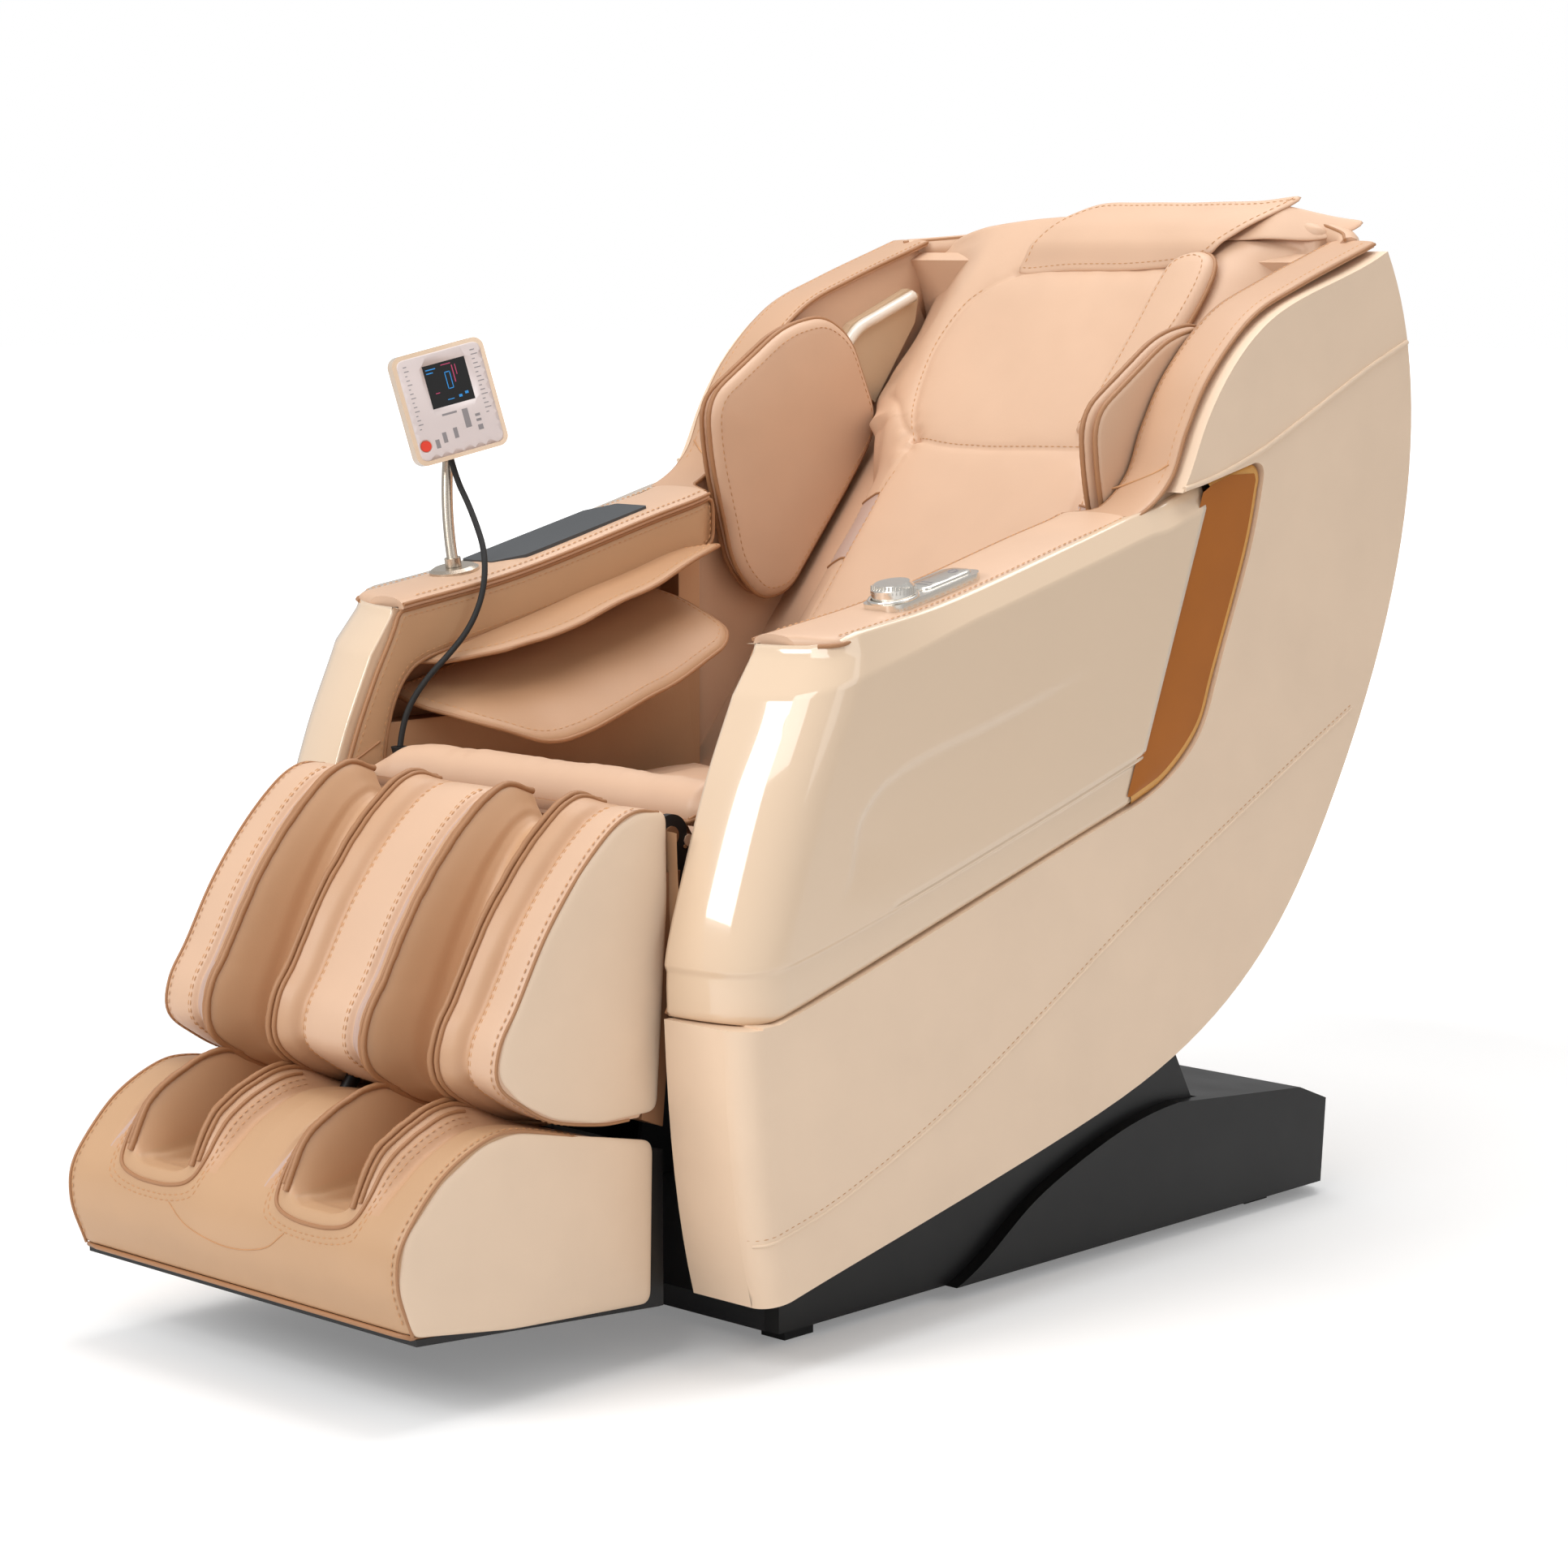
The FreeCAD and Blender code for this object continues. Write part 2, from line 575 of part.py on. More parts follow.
def seat_frame():
    pan = box("SeatPan", ("-lug_inner - lug_thick", "-270", "seat_level - seat_gap - pan_sheet"),
              ("lug_inner + lug_thick", "300", "seat_level - seat_gap"))
    pieces = [pan]
    for side, sign in SIDES:
        low, high = span(sign, "lug_inner", "lug_inner + lug_thick")
        lug = slab_body("ReclineLug" + side,
                        [[(130, 442), (130, 450)], [(130, 450), (172, 474), (200, 480), (228, 474), (262, 450)],
                         [(262, 450), (262, 442)], [(262, 442), (130, 442)]], low, high)
        low, high = span(sign, "lug_inner", "post_inner + post_thick + seat_gap")
        pin = rod("ReclinePin" + side, (low, "pivot_y", "pivot_z"), "(%s)-(%s)" % (high, low), "pivot_pin - fit")
        low, high = span(sign, "lug_inner", "lug_inner + lug_thick")
        flange = box("PanFlange" + side, (low, "-270", "seat_level - 42"), (high, "300", "seat_level - seat_gap"))
        low, high = span(sign, RAIL_INNER + " + rail_width + seat_gap", "lug_inner - seam")
        spots = [(205, 444), (300, 444), (330, 478), (286, 528), (244, 520), (218, 462)]
        bracket = slab_body("RailBracket" + side, ring_of(spots), low, high)
        for place in (-200, 262):
            low, high = span(sign, "lug_inner + lug_thick - 1", "arm_inner - seat_gap")
            pieces.append(box("PanBracket%s%d" % (side, place + 300), (low, str(place), "432"),
                              (high, str(place + 36), "seat_level - seat_gap")))
        arm_low, arm_high = span(sign, "lug_inner - 16", "lug_inner - 8")
        arm = slab_body("KneeArm" + side, [[(-262, 444), (-296, 444)], [(-296, 444), (-312, 500)],
                                           [(-312, 500), (-338, 534)],
                                           [(-338, 534), (-337, 558), (-318, 567), (-300, 560), (-296, 540)],
                                           [(-296, 540), (-266, 462)], [(-266, 462), (-262, 444)]], arm_low, arm_high)
        hole = rod("KneeHole" + side, (arm_low, "knee_y", "knee_z"), "8", "knee_pin + fit")
        pieces += [lug, pin, flange, bracket, cut("KneeEye" + side, arm, hole)]
    pieces += clevis("ReclineClevis", 60, DRIVE_HEAD, [(DRIVE_HEAD[0] - 22, 444), (DRIVE_HEAD[0] + 22, 444), -1])
    pieces += clevis("LegClevis", -60, LEG_FOOT, [(LEG_FOOT[0] - 22, 444), (LEG_FOOT[0] + 22, 444), -1])
    return publish(join("SeatFrame", pieces), "seat_frame")


def guide_rail(side, sign):
    low, high = span(sign, RAIL_INNER, RAIL_INNER + " + rail_width")
    body = slab_body("GuideRail" + side,
                     back_box(rail_start, rail_start + size["rail_long"], rail_front, rail_front + size["rail_depth"]),
                     low, high)
    low, high = span(sign, RAIL_INNER + " - 1", RAIL_INNER + " + rail_width * 0.6")
    middle = rail_front + size["rail_depth"] / 2
    cut_slab(body, "RailChannel" + side,
             back_box(rail_start - 1, rail_start + size["rail_long"] + 1, middle - 11, middle + 11), low, high)
    low, high = span(sign, RAIL_INNER + " - rail_lip", RAIL_INNER + " + 1")
    lip = back_box(rail_start, rail_start + size["rail_long"], rail_front, rail_front + 4)
    add_slab(body, "RailLip" + side, lip, low, high)
    low, high = span(sign, RAIL_INNER, RAIL_INNER + " + rail_width")
    top = back_point(rail_start + size["rail_long"] - 36, rail_front + size["rail_depth"])
    head = [back_point(rail_start + size["rail_long"], rail_front + size["rail_depth"]), (706.5, 905), (706.5, 870), top]
    add_slab(body, "RailHead" + side, ring_of(head), low, high)
    return body


seat_frame()
publish(group("GuideRails", [guide_rail(side, sign) for side, sign in SIDES]), "guide_rails")

CARRIAGE_LOW = 60.0
wheel_behind = size["back_thick"] + 5 + size["node_radius"]
wheel_along = CARRIAGE_LOW + size["carriage_long"] / 2
wheel_centre = back_point(wheel_along, wheel_behind)


def massage_carriage():
    end = CARRIAGE_LOW + size["carriage_long"]
    body = slab_body("Carriage", back_box(CARRIAGE_LOW, end, wheel_behind + size["node_radius"] + 4,
                                          wheel_behind + size["node_radius"] + 34), "-150", "150")
    for side, sign in SIDES:
        low, high = span(sign, "138", "150")
        add_slab(body, "Cheek" + side, back_box(wheel_along - 30, wheel_along + 30, size["back_thick"] + 14,
                                                wheel_behind + size["node_radius"] + 6), low, high)
        cut_slab(body, "AxleHole" + side, disc_runs(wheel_centre, 9 + size["fit"]), low, high)
        low, high = span(sign, "149", RAIL_INNER + " + rail_width * 0.6 - 1")
        middle = rail_front + size["rail_depth"] / 2
        add_slab(body, "Slider" + side, back_box(CARRIAGE_LOW + 10, end - 10, middle - 10.4, middle + 10.4), low, high)
    return publish(body, "massage_carriage")


def kneading_wheels():
    y, z = wheel_centre
    pieces = [rod("KneadingAxle", ("-148.5", str(y), str(z)), "297", "9")]
    for place in (-118, -60, 36, 94):
        pieces.append(rod("KneadingWheel%d" % (place + 200), (str(place), str(y), str(z)), "node_wide", "node_radius"))
    return publish(join("KneadingWheels", pieces), "kneading_wheels")


massage_carriage()
kneading_wheels()


# Soft pieces of the capsule

def rectangle(low_x, low_y, high_x, high_y):
    return [(low_x, low_y), (high_x, low_y), (high_x, high_y), (low_x, high_y)]


def back_frame(along, behind):
    y, z = back_point(along, behind)
    return frame_at((0, y, z), (1, 0, 0), (0, back_along[0], back_along[1]))


half = size["back_half"]
seat = cushion(rectangle(-size["seat_half"], -262, size["seat_half"], 212), 40, size["seat_thick"], 12,
               FreeCAD.Placement(V(0, 0, size["seat_level"]), FreeCAD.Rotation()))
publish(feature("SeatCushion", seat), "seat_cushion")

seat_top = size["seat_level"] + size["seat_thick"]
SEAT_LIP = [(-292, 548), (-291, 566), (-280, 588), (-258, 596), (-236, 588), (-226, 560), (-232, 545)]
SEAT_APRON = [(-290, 470), (-294, 510), (-292, 549)]
flap = slab_body("SeatFlap", [SEAT_LIP, [SEAT_LIP[-1], SEAT_LIP[0]]], "-252", "252")
add_slab(flap, "SeatApron", [SEAT_APRON, [SEAT_APRON[-1], (-262, 549)], [(-262, 549), (-270, 470)]], "-230", "230")
publish(flap, "seat_front_flap")

lower_pad = cushion(rectangle(-half, 0, half, 418), 50, size["back_thick"] - 14, 14, back_frame(36, size["back_thick"]))
upper_pad = cushion([(-half, 0), (half, 0), (half - 14, 262), (14 - half, 262)], 60, size["back_thick"] - 14, 14,
                    back_frame(472, size["back_thick"]))
publish(feature("BackPadLower", lower_pad), "back_pad_lower")
publish(feature("BackPadUpper", upper_pad), "back_pad_upper")
pillow = cushion([(24 - half, 0), (half - 24, 0), (half + 6, 175), (-half - 6, 175)], 50, 16, 8,
                 back_frame(662, -2 * size["seat_gap"]), draw=3.0)
publish(feature("HeadPillow", pillow), "head_pillow")


def on_side(name, shape, sign):
    """A shape drawn for the left side, or its mirror image for the right."""
    return feature(name, shape if sign > 0 else shape.mirror(V(0, 0, 0), V(1, 0, 0)))


def wing(corners, base, radius, thick, crown, draw):
    """Upright pad of a side drawing, with its crown towards the sitter."""
    points = [(y, -z) for y, z in corners]
    if polygon_area(points) < 0:
        points = points[::-1]
    return cushion(points, radius, thick, crown, frame_at((base, 0, 0), (0, 1, 0), (0, 0, -1)), draw=draw)


def arm_flap(start, slope, corners, thick, rise):
    """Thin air pad in the arm tunnel: local X runs along the arm, local Y from the shell to the sitter."""
    placement = frame_at(start, (0, 1, slope), (-1, 0, rise))
    return cushion(corners, 22, thick * 0.8, thick * 0.2, placement, draw=2.0)


SHOULDER_BAG = [(375, 843), (375, 808), (408, 765), (440, 785), (555, 912), (545, 950), (505, 1000), (440, 925)]
SHOULDER_PAD = [(276, 955), (284, 880), (322, 748), (368, 706), (418, 714), (535, 850), (582, 914), (530, 1024),
                (480, 1052), (410, 1040)]
UPPER_FLAP = [(0, 0), (436, 0), (448, 96), (430, 112), (24, 52), (4, 30)]
LOWER_FLAP = [(30, 0), (400, 0), (420, 96), (380, 140), (60, 140), (24, 100)]
neck_pads = []
lining_face = size["shell_inner"] - size["seat_gap"] - size["lining_thick"]
tunnel_back = size["arm_inner"] + size["tunnel_deep"]
neck_outer = lining_face - size["seat_gap"] - size["speaker_thick"] - 4
for side, sign in SIDES:
    bag_face = lining_face - size["seat_gap"]
    bag_thick = 12.1
    layers = [on_side("ShoulderPad" + side, wing(SHOULDER_PAD, bag_face - bag_thick - 0.3, 30, 20, 6, 3.0), sign),
              on_side("ShoulderBag" + side, wing(SHOULDER_BAG, bag_face, 24, bag_thick - 1.7, 1.7, 1.5), sign)]
    publish(group("ShoulderPads" + side, layers), "shoulder_pad_" + side)
    neck_start = back_point(598, 29.4)
    beside = frame_at((0, neck_start[0], neck_start[1]), (1, 0, 0), (0, back_along[0], back_along[1]))
    wing_corners = [(size["back_half"] + 6, 0), (neck_outer, 0), (neck_outer, 132), (size["back_half"] + 6, 138)]
    neck_pads.append(on_side("NeckPad" + side, cushion(wing_corners, 26, 30, 8, beside, draw=3.0), sign))
    upper = arm_flap((tunnel_back - 1.3, -212, 672), 0.215, UPPER_FLAP, 12, 0.10)
    publish(on_side("ArmFlapUpper" + side, upper, sign), "arm_flap_upper_" + side)
    lower = arm_flap((tunnel_back - 0.3, -212, 628), 0.24, LOWER_FLAP, 16, -0.22)
    publish(on_side("ArmFlapLower" + side, lower, sign), "arm_flap_lower_" + side)
publish(group("NeckPads", neck_pads), "neck_pads")


# Arm fittings: charging pad, control plate and knob, tablet on its stand

def arm_top_z(y):
    """Height of the arm top's leather at a depth."""
    curve = curve_through(TOP[:ARM_TOP_POINTS])
    return curve.value(depth_on(curve, y)).y


def arm_frame(sign, across, y, reach, lift):
    """Frame on the arm top for a flat piece that reaches this far forwards and backwards."""
    front, rear = arm_top_z(y - reach), arm_top_z(y + reach)
    return frame_at((sign * across, y, (front + rear) / 2 + lift), (1, 0, 0), (0, 2 * reach, rear - front))


def prism(points, radius, thick, placement):
    face = Part.Face(rounded_wire(points, radius, 0.0))
    solid = face.extrude(V(0, 0, thick))
    solid.Placement = placement
    return solid


charger = prism([(-38, -118), (14, -118), (38, -84), (38, 118), (-14, 118), (-38, 84)], 4, 4,
                arm_frame(-1, size["shell_inner"] - 15, 62, 116, 0.4))
publish(feature("ChargingPad", charger), "charging_pad")

plate = prism(rectangle(-26, -72, 26, 72), 14, size["plate_thick"],
              arm_frame(1, size["shell_inner"] - 11, -34, 70, 0.4))
plate_frame = arm_frame(1, size["shell_inner"] - 11, -34, 70, 0.4 + size["plate_thick"])
publish(feature("ControlPlate", plate), "control_plate")

KNOB_PLACE = V(0, -46, 0)
knob = Part.makeCylinder(size["knob_radius"], size["knob_high"] - 5, V(0, 0, 0.5))
knob = knob.fuse(Part.makeCone(size["knob_radius"], size["knob_radius"] - 4, 5, V(0, 0, size["knob_high"] - 4.5)))
knob.Placement = plate_frame.multiply(FreeCAD.Placement(KNOB_PLACE, FreeCAD.Rotation()))
publish(feature("ControlKnob", knob), "control_knob")

disc_frame = arm_frame(-1, size["shell_inner"] - 15, -98, size["disc_radius"], 0.4)
disc = Part.makeCylinder(size["disc_radius"], size["disc_thick"] - 3)
disc = disc.fuse(Part.makeCone(size["disc_radius"], size["disc_radius"] - 5, 3, V(0, 0, size["disc_thick"] - 3)))
disc.Placement = disc_frame
publish(feature("StandBase", disc), "stand_base")

TABLET_MIDDLE = V(9 - size["shell_inner"], -100, 962)
tablet_frame = frame_at(tuple(TABLET_MIDDLE), (0.40, 0.88, 0.24), (-0.20, -0.22, 0.95))
BALL_SPOT = (0, -18, -22)
BALL_RADIUS = 8.0
ball_centre = tablet_frame.multVec(V(*BALL_SPOT))


def stand_arm():
    """Curved tube from the disc to the ball behind the tablet."""
    foot = disc_frame.multVec(V(0, 0, size["disc_thick"] + 4))
    neck = ball_centre - tablet_frame.Rotation.multVec(V(0, 16, 0))
    path = Part.Wire([Part.Arc(foot, V(-size["shell_inner"] - 1, -94, 862), neck).toShape()])
    ring = Part.Wire([Part.makeCircle(size["stand_tube"], foot, path.Edges[0].tangentAt(path.Edges[0].FirstParameter))])
    tube = path.makePipeShell([ring], True, False)
    normal = disc_frame.Rotation.multVec(V(0, 0, 1))
    collar = Part.makeCylinder(size["stand_tube"] + 3, 10, disc_frame.multVec(V(0, 0, size["disc_thick"] + 0.3)), normal)
    slim = Part.makeCylinder(4, 20, neck - tablet_frame.Rotation.multVec(V(0, 4, 0)),
                             tablet_frame.Rotation.multVec(V(0, 1, 0)))
    return tube.fuse([collar, slim, Part.makeSphere(BALL_RADIUS, ball_centre)])


publish(feature("StandArm", stand_arm()), "stand_arm")

socket = Part.makeCylinder(7, 6, V(BALL_SPOT[0], BALL_SPOT[1], -15.5)).cut(
    Part.makeSphere(BALL_RADIUS + size["fit"], V(*BALL_SPOT)))
wide = size["tablet_wide"] / 2
high = size["tablet_high"] / 2
housing = Part.Face(rounded_wire(rectangle(-wide, -high, wide, high), 12, -size["tablet_thick"] / 2)).extrude(
    V(0, 0, size["tablet_thick"]))
housing = housing.fuse(socket)
screen_low = (-22, -4)
screen_high = (wide - 26, high - 18)
pocket = Part.makeBox(screen_high[0] - screen_low[0] + 1, screen_high[1] - screen_low[1] + 1, 2.5,
                      V(screen_low[0] - 0.5, screen_low[1] - 0.5, size["tablet_thick"] / 2 - 2))
button_spot = V(-wide + 14, -high + 22, 0)
button_hole = Part.makeCylinder(6.5, 6, V(button_spot.x, button_spot.y, size["tablet_thick"] / 2 - 5))
housing = housing.cut(pocket).cut(button_hole)
housing.Placement = tablet_frame
publish(feature("TabletHousing", housing), "tablet_housing")
screen = Part.makeBox(screen_high[0] - screen_low[0], screen_high[1] - screen_low[1], 1.7,
                      V(screen_low[0], screen_low[1], size["tablet_thick"] / 2 - 1.8))
screen.Placement = tablet_frame
publish(feature("TabletScreen", screen), "tablet_screen")
button = Part.makeCylinder(6.2, 4.4, V(button_spot.x, button_spot.y, size["tablet_thick"] / 2 - 3.2))
button.Placement = tablet_frame
publish(feature("TabletButton", button), "tablet_button")

# The cord leaves the underside of the tablet, hangs past the inside of the arm and ends in its grommet

CORD_ROUTE = [(10, -97, 896), (14, -92, 872), (27, -88, 848), (47, -92, 822), (69, -101, 797),
              (83, -112, 768), (88, -124, 738), (89, -144, 708), (88, -172, 683), (86, -202, 660),
              (84, -226, 634), (83, -239, 607), (83, -243, 584)]
CORD_POINTS = [(inwards - size["shell_inner"], y, z) for inwards, y, z in CORD_ROUTE]


def cord_tube(points, diameter):
    """Straight runs joined by tangent arcs, and the radius of each arc."""
    spots = [V(*point) for point in points]
    edges = []
    radii = []
    last = spots[0]
    for before, corner, after in zip(spots, spots[1:], spots[2:]):
        into = (before - corner).normalize()
        away = (after - corner).normalize()
        half_turn = (math.pi - into.getAngle(away)) / 2
        reach = 0.45 * min((before - corner).Length, (after - corner).Length)
        radius = reach / math.tan(half_turn)
        radii.append(round(radius, 1))
        middle = corner + (into + away).normalize() * (radius / math.cos(half_turn) - radius)
        edges.append(Part.LineSegment(last, corner + into * reach).toShape())
        edges.append(Part.Arc(corner + into * reach, middle, corner + away * reach).toShape())
        last = corner + away * reach
    edges.append(Part.LineSegment(last, spots[-1]).toShape())
    path = Part.Wire(edges)
    ring = Part.Wire([Part.makeCircle(diameter / 2, spots[0], spots[1] - spots[0])])
    tube = path.makePipeShell([ring], True, False)
    print("cord length", round(path.Length, 1), "radii", radii,
          "volume ratio", round(tube.Volume / (path.Length * math.pi * diameter ** 2 / 4), 4))
    return tube


publish(feature("TabletCord", cord_tube(CORD_POINTS, size["cord_size"])), "tablet_cord")
grommet = Part.makeCone(8, 10, 8, V(CORD_POINTS[-1][0], -243.5, 575.6))
grommet = grommet.cut(Part.makeCylinder(3.9, 4, V(CORD_POINTS[-1][0], -243.5, 580)))
publish(feature("CordGrommet", grommet), "cord_grommet")


# Calf rest

calf_rear = [(-352, 578), (-380, 262)]
LEG_ALONG = V(0, 0.638, 0.770).normalize()
LEG_START = (-520.0, 262.0)


def leg_rod(name, x, low, high, radius):
    """Cylinder along the lower leg, between two distances from the point where foot and calf units meet."""
    solid = doc.addObject("Part::Cylinder", name)
    foot = V(x, *LEG_START) + LEG_ALONG * low
    solid.Placement = FreeCAD.Placement(foot, FreeCAD.Rotation(V(0, 0, 1), LEG_ALONG))
    bind(solid, "Radius", radius)
    solid.Height = high - low
    return solid


def leg_rods(name, low, high, radius):
    return [leg_rod(name + side, sign * size["leg_rod_apart"], low, high, radius) for side, sign in SIDES]


def calf_shell():
    spots = [(-322, 512), (-351, 512), (-379, 262), (-349, 250)]
    body = slab_body("CalfTray", ring_of(spots), "-calf_half", "calf_half")
    neck = [(-304, 540), (-332, 556), (-350, 556), (-352, 500), (-322, 500)]
    add_slab(body, "CalfNeck", ring_of(neck), "-(calf_half - 34)", "calf_half - 34")
    knuckle = rod("KneePin", ("-(calf_half - 16)", "knee_y", "knee_z"), "2 * calf_half - 32", "knee_pin")
    barrel = rod("KneeBarrel", ("-(calf_half - 29)", "knee_y", "knee_z"), "2 * calf_half - 58", "18")
    y, z = LEG_HEAD
    pieces = [body, knuckle, barrel, rod("CalfClevisPin", ("-74", str(y), str(z)), "28", "drive_pin")]
    for edge, low in (("a", -74), ("b", -51)):
        spots = [(-345, z + 26), (-345, z - 26), (y - 6, z - 12), (y + 12, z - 6), (y + 12, z + 6), (y - 6, z + 12)]
        pieces.append(slab_body("CalfEar" + edge, ring_of(spots), str(low), str(low + 5)))
    pieces += leg_rods("LegTube", 26, 262, "leg_rod + fit + leg_tube_wall")
    return publish(cut("CalfShellBored", join("CalfShell", pieces), join("LegBores", leg_rods("LegBore", 0, 248, "leg_rod + fit"))),
                   "calf_shell")


calf_shell()
calf_outline = [CALF_FRONT, [CALF_FRONT[-1], calf_rear[0]], calf_rear, [calf_rear[1], (-489, 277)],
                [(-489, 277), CALF_FRONT[0]]]
calf_center = slab_body("CalfCenter", calf_outline, "-trough_inner", "trough_inner")
tube_room = join("LegTubeRoom", leg_rods("LegRoom", -20, 300, "leg_rod + fit + leg_tube_wall + seat_gap"))
calf_pads = [cut("CalfCenterCut", calf_center, tube_room)]
panels = []
floors = []
floor_outline = [[(-392, 560), (-430, 500), (-470, 420), (-500, 340), (-505, 282)], [(-505, 282), calf_rear[1]],
                 calf_rear[::-1], [calf_rear[0], (-392, 560)]]
panel_outline = [[(y + 3, z - 2) for y, z in CALF_FRONT], [(-371, 577), (-356, 574)], [(-356, 574), (-383, 266)],
                 [(-383, 266), (-489, 281)]]
for side, sign in SIDES:
    low, high = span(sign, "trough_outer", "calf_half")
    calf_pads.append(slab_body("CalfOuter" + side, calf_outline, low, high))
    low, high = span(sign, "calf_half + seat_gap", "calf_half + seat_gap + side_panel")
    panels.append(slab_body("CalfPanel" + side, panel_outline, low, high))
    low, high = span(sign, "trough_inner + seat_gap", "trough_outer - seat_gap")
    floors.append(slab_body("CalfFloor" + side, floor_outline, low, high))
publish(group("CalfPads", calf_pads), "calf_pads")
publish(group("CalfSidePanels", panels), "calf_side_panels")
publish(group("CalfTroughPads", floors), "calf_trough_pads")


# Foot rest

def foot_shell():
    spots = [(-684, 88), (-684, 95), (-380, 76), (-380, 232), (-349, 226), (-349, 62), (-356, 62)]
    body = slab_body("FootShell", ring_of(spots), "-calf_half", "calf_half")
    return publish(join("FootShellRods", [body] + leg_rods("LegRod", -216, 240, "leg_rod")), "foot_shell")


def foot_cover():
    under = [(-381, 79), (-690, 98)]
    outline = [[under[1]] + FOOT_FRONT[1:], [FOOT_FRONT[-1], (-381, 233)], [(-381, 233), under[0]], under]
    body = slab_body("FootCover", outline, "-calf_half", "calf_half")
    well = [SOLE_LINE, [SOLE_LINE[-1], (-395, 173)], [(-395, 173), (-395, 300)], [(-395, 300), (-690, 300)],
            [(-690, 300), SOLE_LINE[0]]]
    for side, sign in SIDES:
        low, high = span(sign, "trough_inner", "trough_outer")
        cut_slab(body, "FootWell" + side, well, low, high)
    slots = [rod("RollerBearing", ("-trough_outer - 8", "roller_y", "roller_z"), "2 * trough_outer + 16", "roller_axle + fit")]
    for side, sign in SIDES:
        low, high = span(sign, "trough_inner + 4", "trough_outer - 4")
        slots.append(rod("RollerSlot" + side, (low, "roller_y", "roller_z"), "(%s)-(%s)" % (high, low), "roller_radius + 2"))
    slots += leg_rods("FootRodHole", -260, 60, "leg_rod + seat_gap")
    return publish(cut("FootCoverCut", body, join("FootCuts", slots)), "foot_cover")


def foot_soles(side, sign):
    under = [(y, z + size["seat_gap"]) for y, z in SOLE_LINE[1:3]]
    outline = [under, [under[-1], (under[-1][0], under[-1][1] + 7)],
               [(under[-1][0], under[-1][1] + 7), (-630, 196), (-672, 202)], [(-672, 202), under[0]]]
    low, high = span(sign, "trough_inner + seat_gap", "trough_outer - seat_gap")
    return slab_body("FootSole" + side, outline, low, high)


foot_shell()
foot_cover()
publish(group("FootSoles", [foot_soles(side, sign) for side, sign in SIDES]), "foot_soles")
foot_panels = []
foot_panel_outline = [[(y + 4, z - 2) for y, z in FOOT_FRONT], [(-371, 234), (-352, 226)], [(-352, 226), (-354, 66)],
                      [(-354, 66), (-686, 94)]]
roller_pieces = [rod("RollerAxle", ("-trough_outer - 7", "roller_y", "roller_z"), "2 * trough_outer + 14", "roller_axle")]
for side, sign in SIDES:
    low, high = span(sign, "calf_half + seat_gap", "calf_half + seat_gap + side_panel")
    foot_panels.append(slab_body("FootPanel" + side, foot_panel_outline, low, high))
    low, high = span(sign, "trough_inner + 8", "trough_outer - 8")
    roller_pieces.append(rod("SoleRoller" + side, (low, "roller_y", "roller_z"), "(%s)-(%s)" % (high, low), "roller_radius"))
publish(group("FootSidePanels", foot_panels), "foot_side_panels")
publish(join("SoleRollers", roller_pieces), "sole_rollers")


# Base

def base_pan():
    pan = box("FloorPan", ("-base_half", "-233", "foot_high + seat_gap"), ("base_half", "690", "foot_high + seat_gap + base_sheet"))
    pieces = [pan]
    for side, sign in SIDES:
        low, high = span(sign, "base_half - base_sheet", "base_half")
        pieces.append(box("PanEdge" + side, (low, "-233", "foot_high + seat_gap"), (high, "690", "54")))
    for place in (-233, 250, 420):
        pieces.append(box("PanRib%d" % (place + 300), ("-base_half", str(place), "foot_high + seat_gap"),
                          ("base_half", str(place + 30), "40")))
    for side, sign in SIDES:
        for edge, low_text, high_text in (("a", "184", "190"), ("b", "204", "210")):
            low, high = span(sign, low_text, high_text)
            ear = box("WheelEar" + side + edge, (low, "655", "foot_high + seat_gap"), (high, "690", "42"))
            hole = rod("EarHole" + side + edge, (low, "676", "30"), "6", "wheel_axle + fit")
            pieces.append(cut("WheelEarCut" + side + edge, ear, hole))
    pieces += clevis("FloorClevis", 60, DRIVE_FOOT, [(DRIVE_FOOT[0] - 30, 19), (DRIVE_FOOT[0] + 30, 19), 1])
    whole = join("PanJoined", pieces)
    slots = []
    for side, sign in SIDES:
        low, high = span(sign, "190.5", "203.5")
        slots.append(box("WheelSlot" + side, (low, "650", "0"), (high, "700", "60")))
    return publish(cut("BasePan", whole, join("WheelSlots", slots)), "base_pan")


def pivot_post(side, sign):
    low, high = span(sign, "post_inner", "post_inner + post_thick")
    head = [(172, 440), (176, 464), (200, 476), (224, 464), (228, 440)]
    outline = [head, [head[-1], (234, 200)], [(234, 200), (240, 21)], [(240, 21), (120, 21)], [(120, 21), (150, 200)],
               [(150, 200), head[0]]]
    body = slab_body("PivotPost" + side, outline, low, high)
    cut_slab(body, "PivotHole" + side, disc_runs((size["pivot_y"], size["pivot_z"]), size["pivot_pin"]), low, high)
    return body


def side_skirt(side, sign):
    outline = [[(-233, 17), SKIRT_TOP[0]], SKIRT_TOP, [SKIRT_TOP[-1], (464, 155)], [(464, 155), (470, 17)],
               [(470, 17), (-233, 17)]]
    low, high = span(sign, "base_half + seat_gap", "base_half + seat_gap + skirt_thick")
    return slab_body("Skirt" + side, outline, low, high)


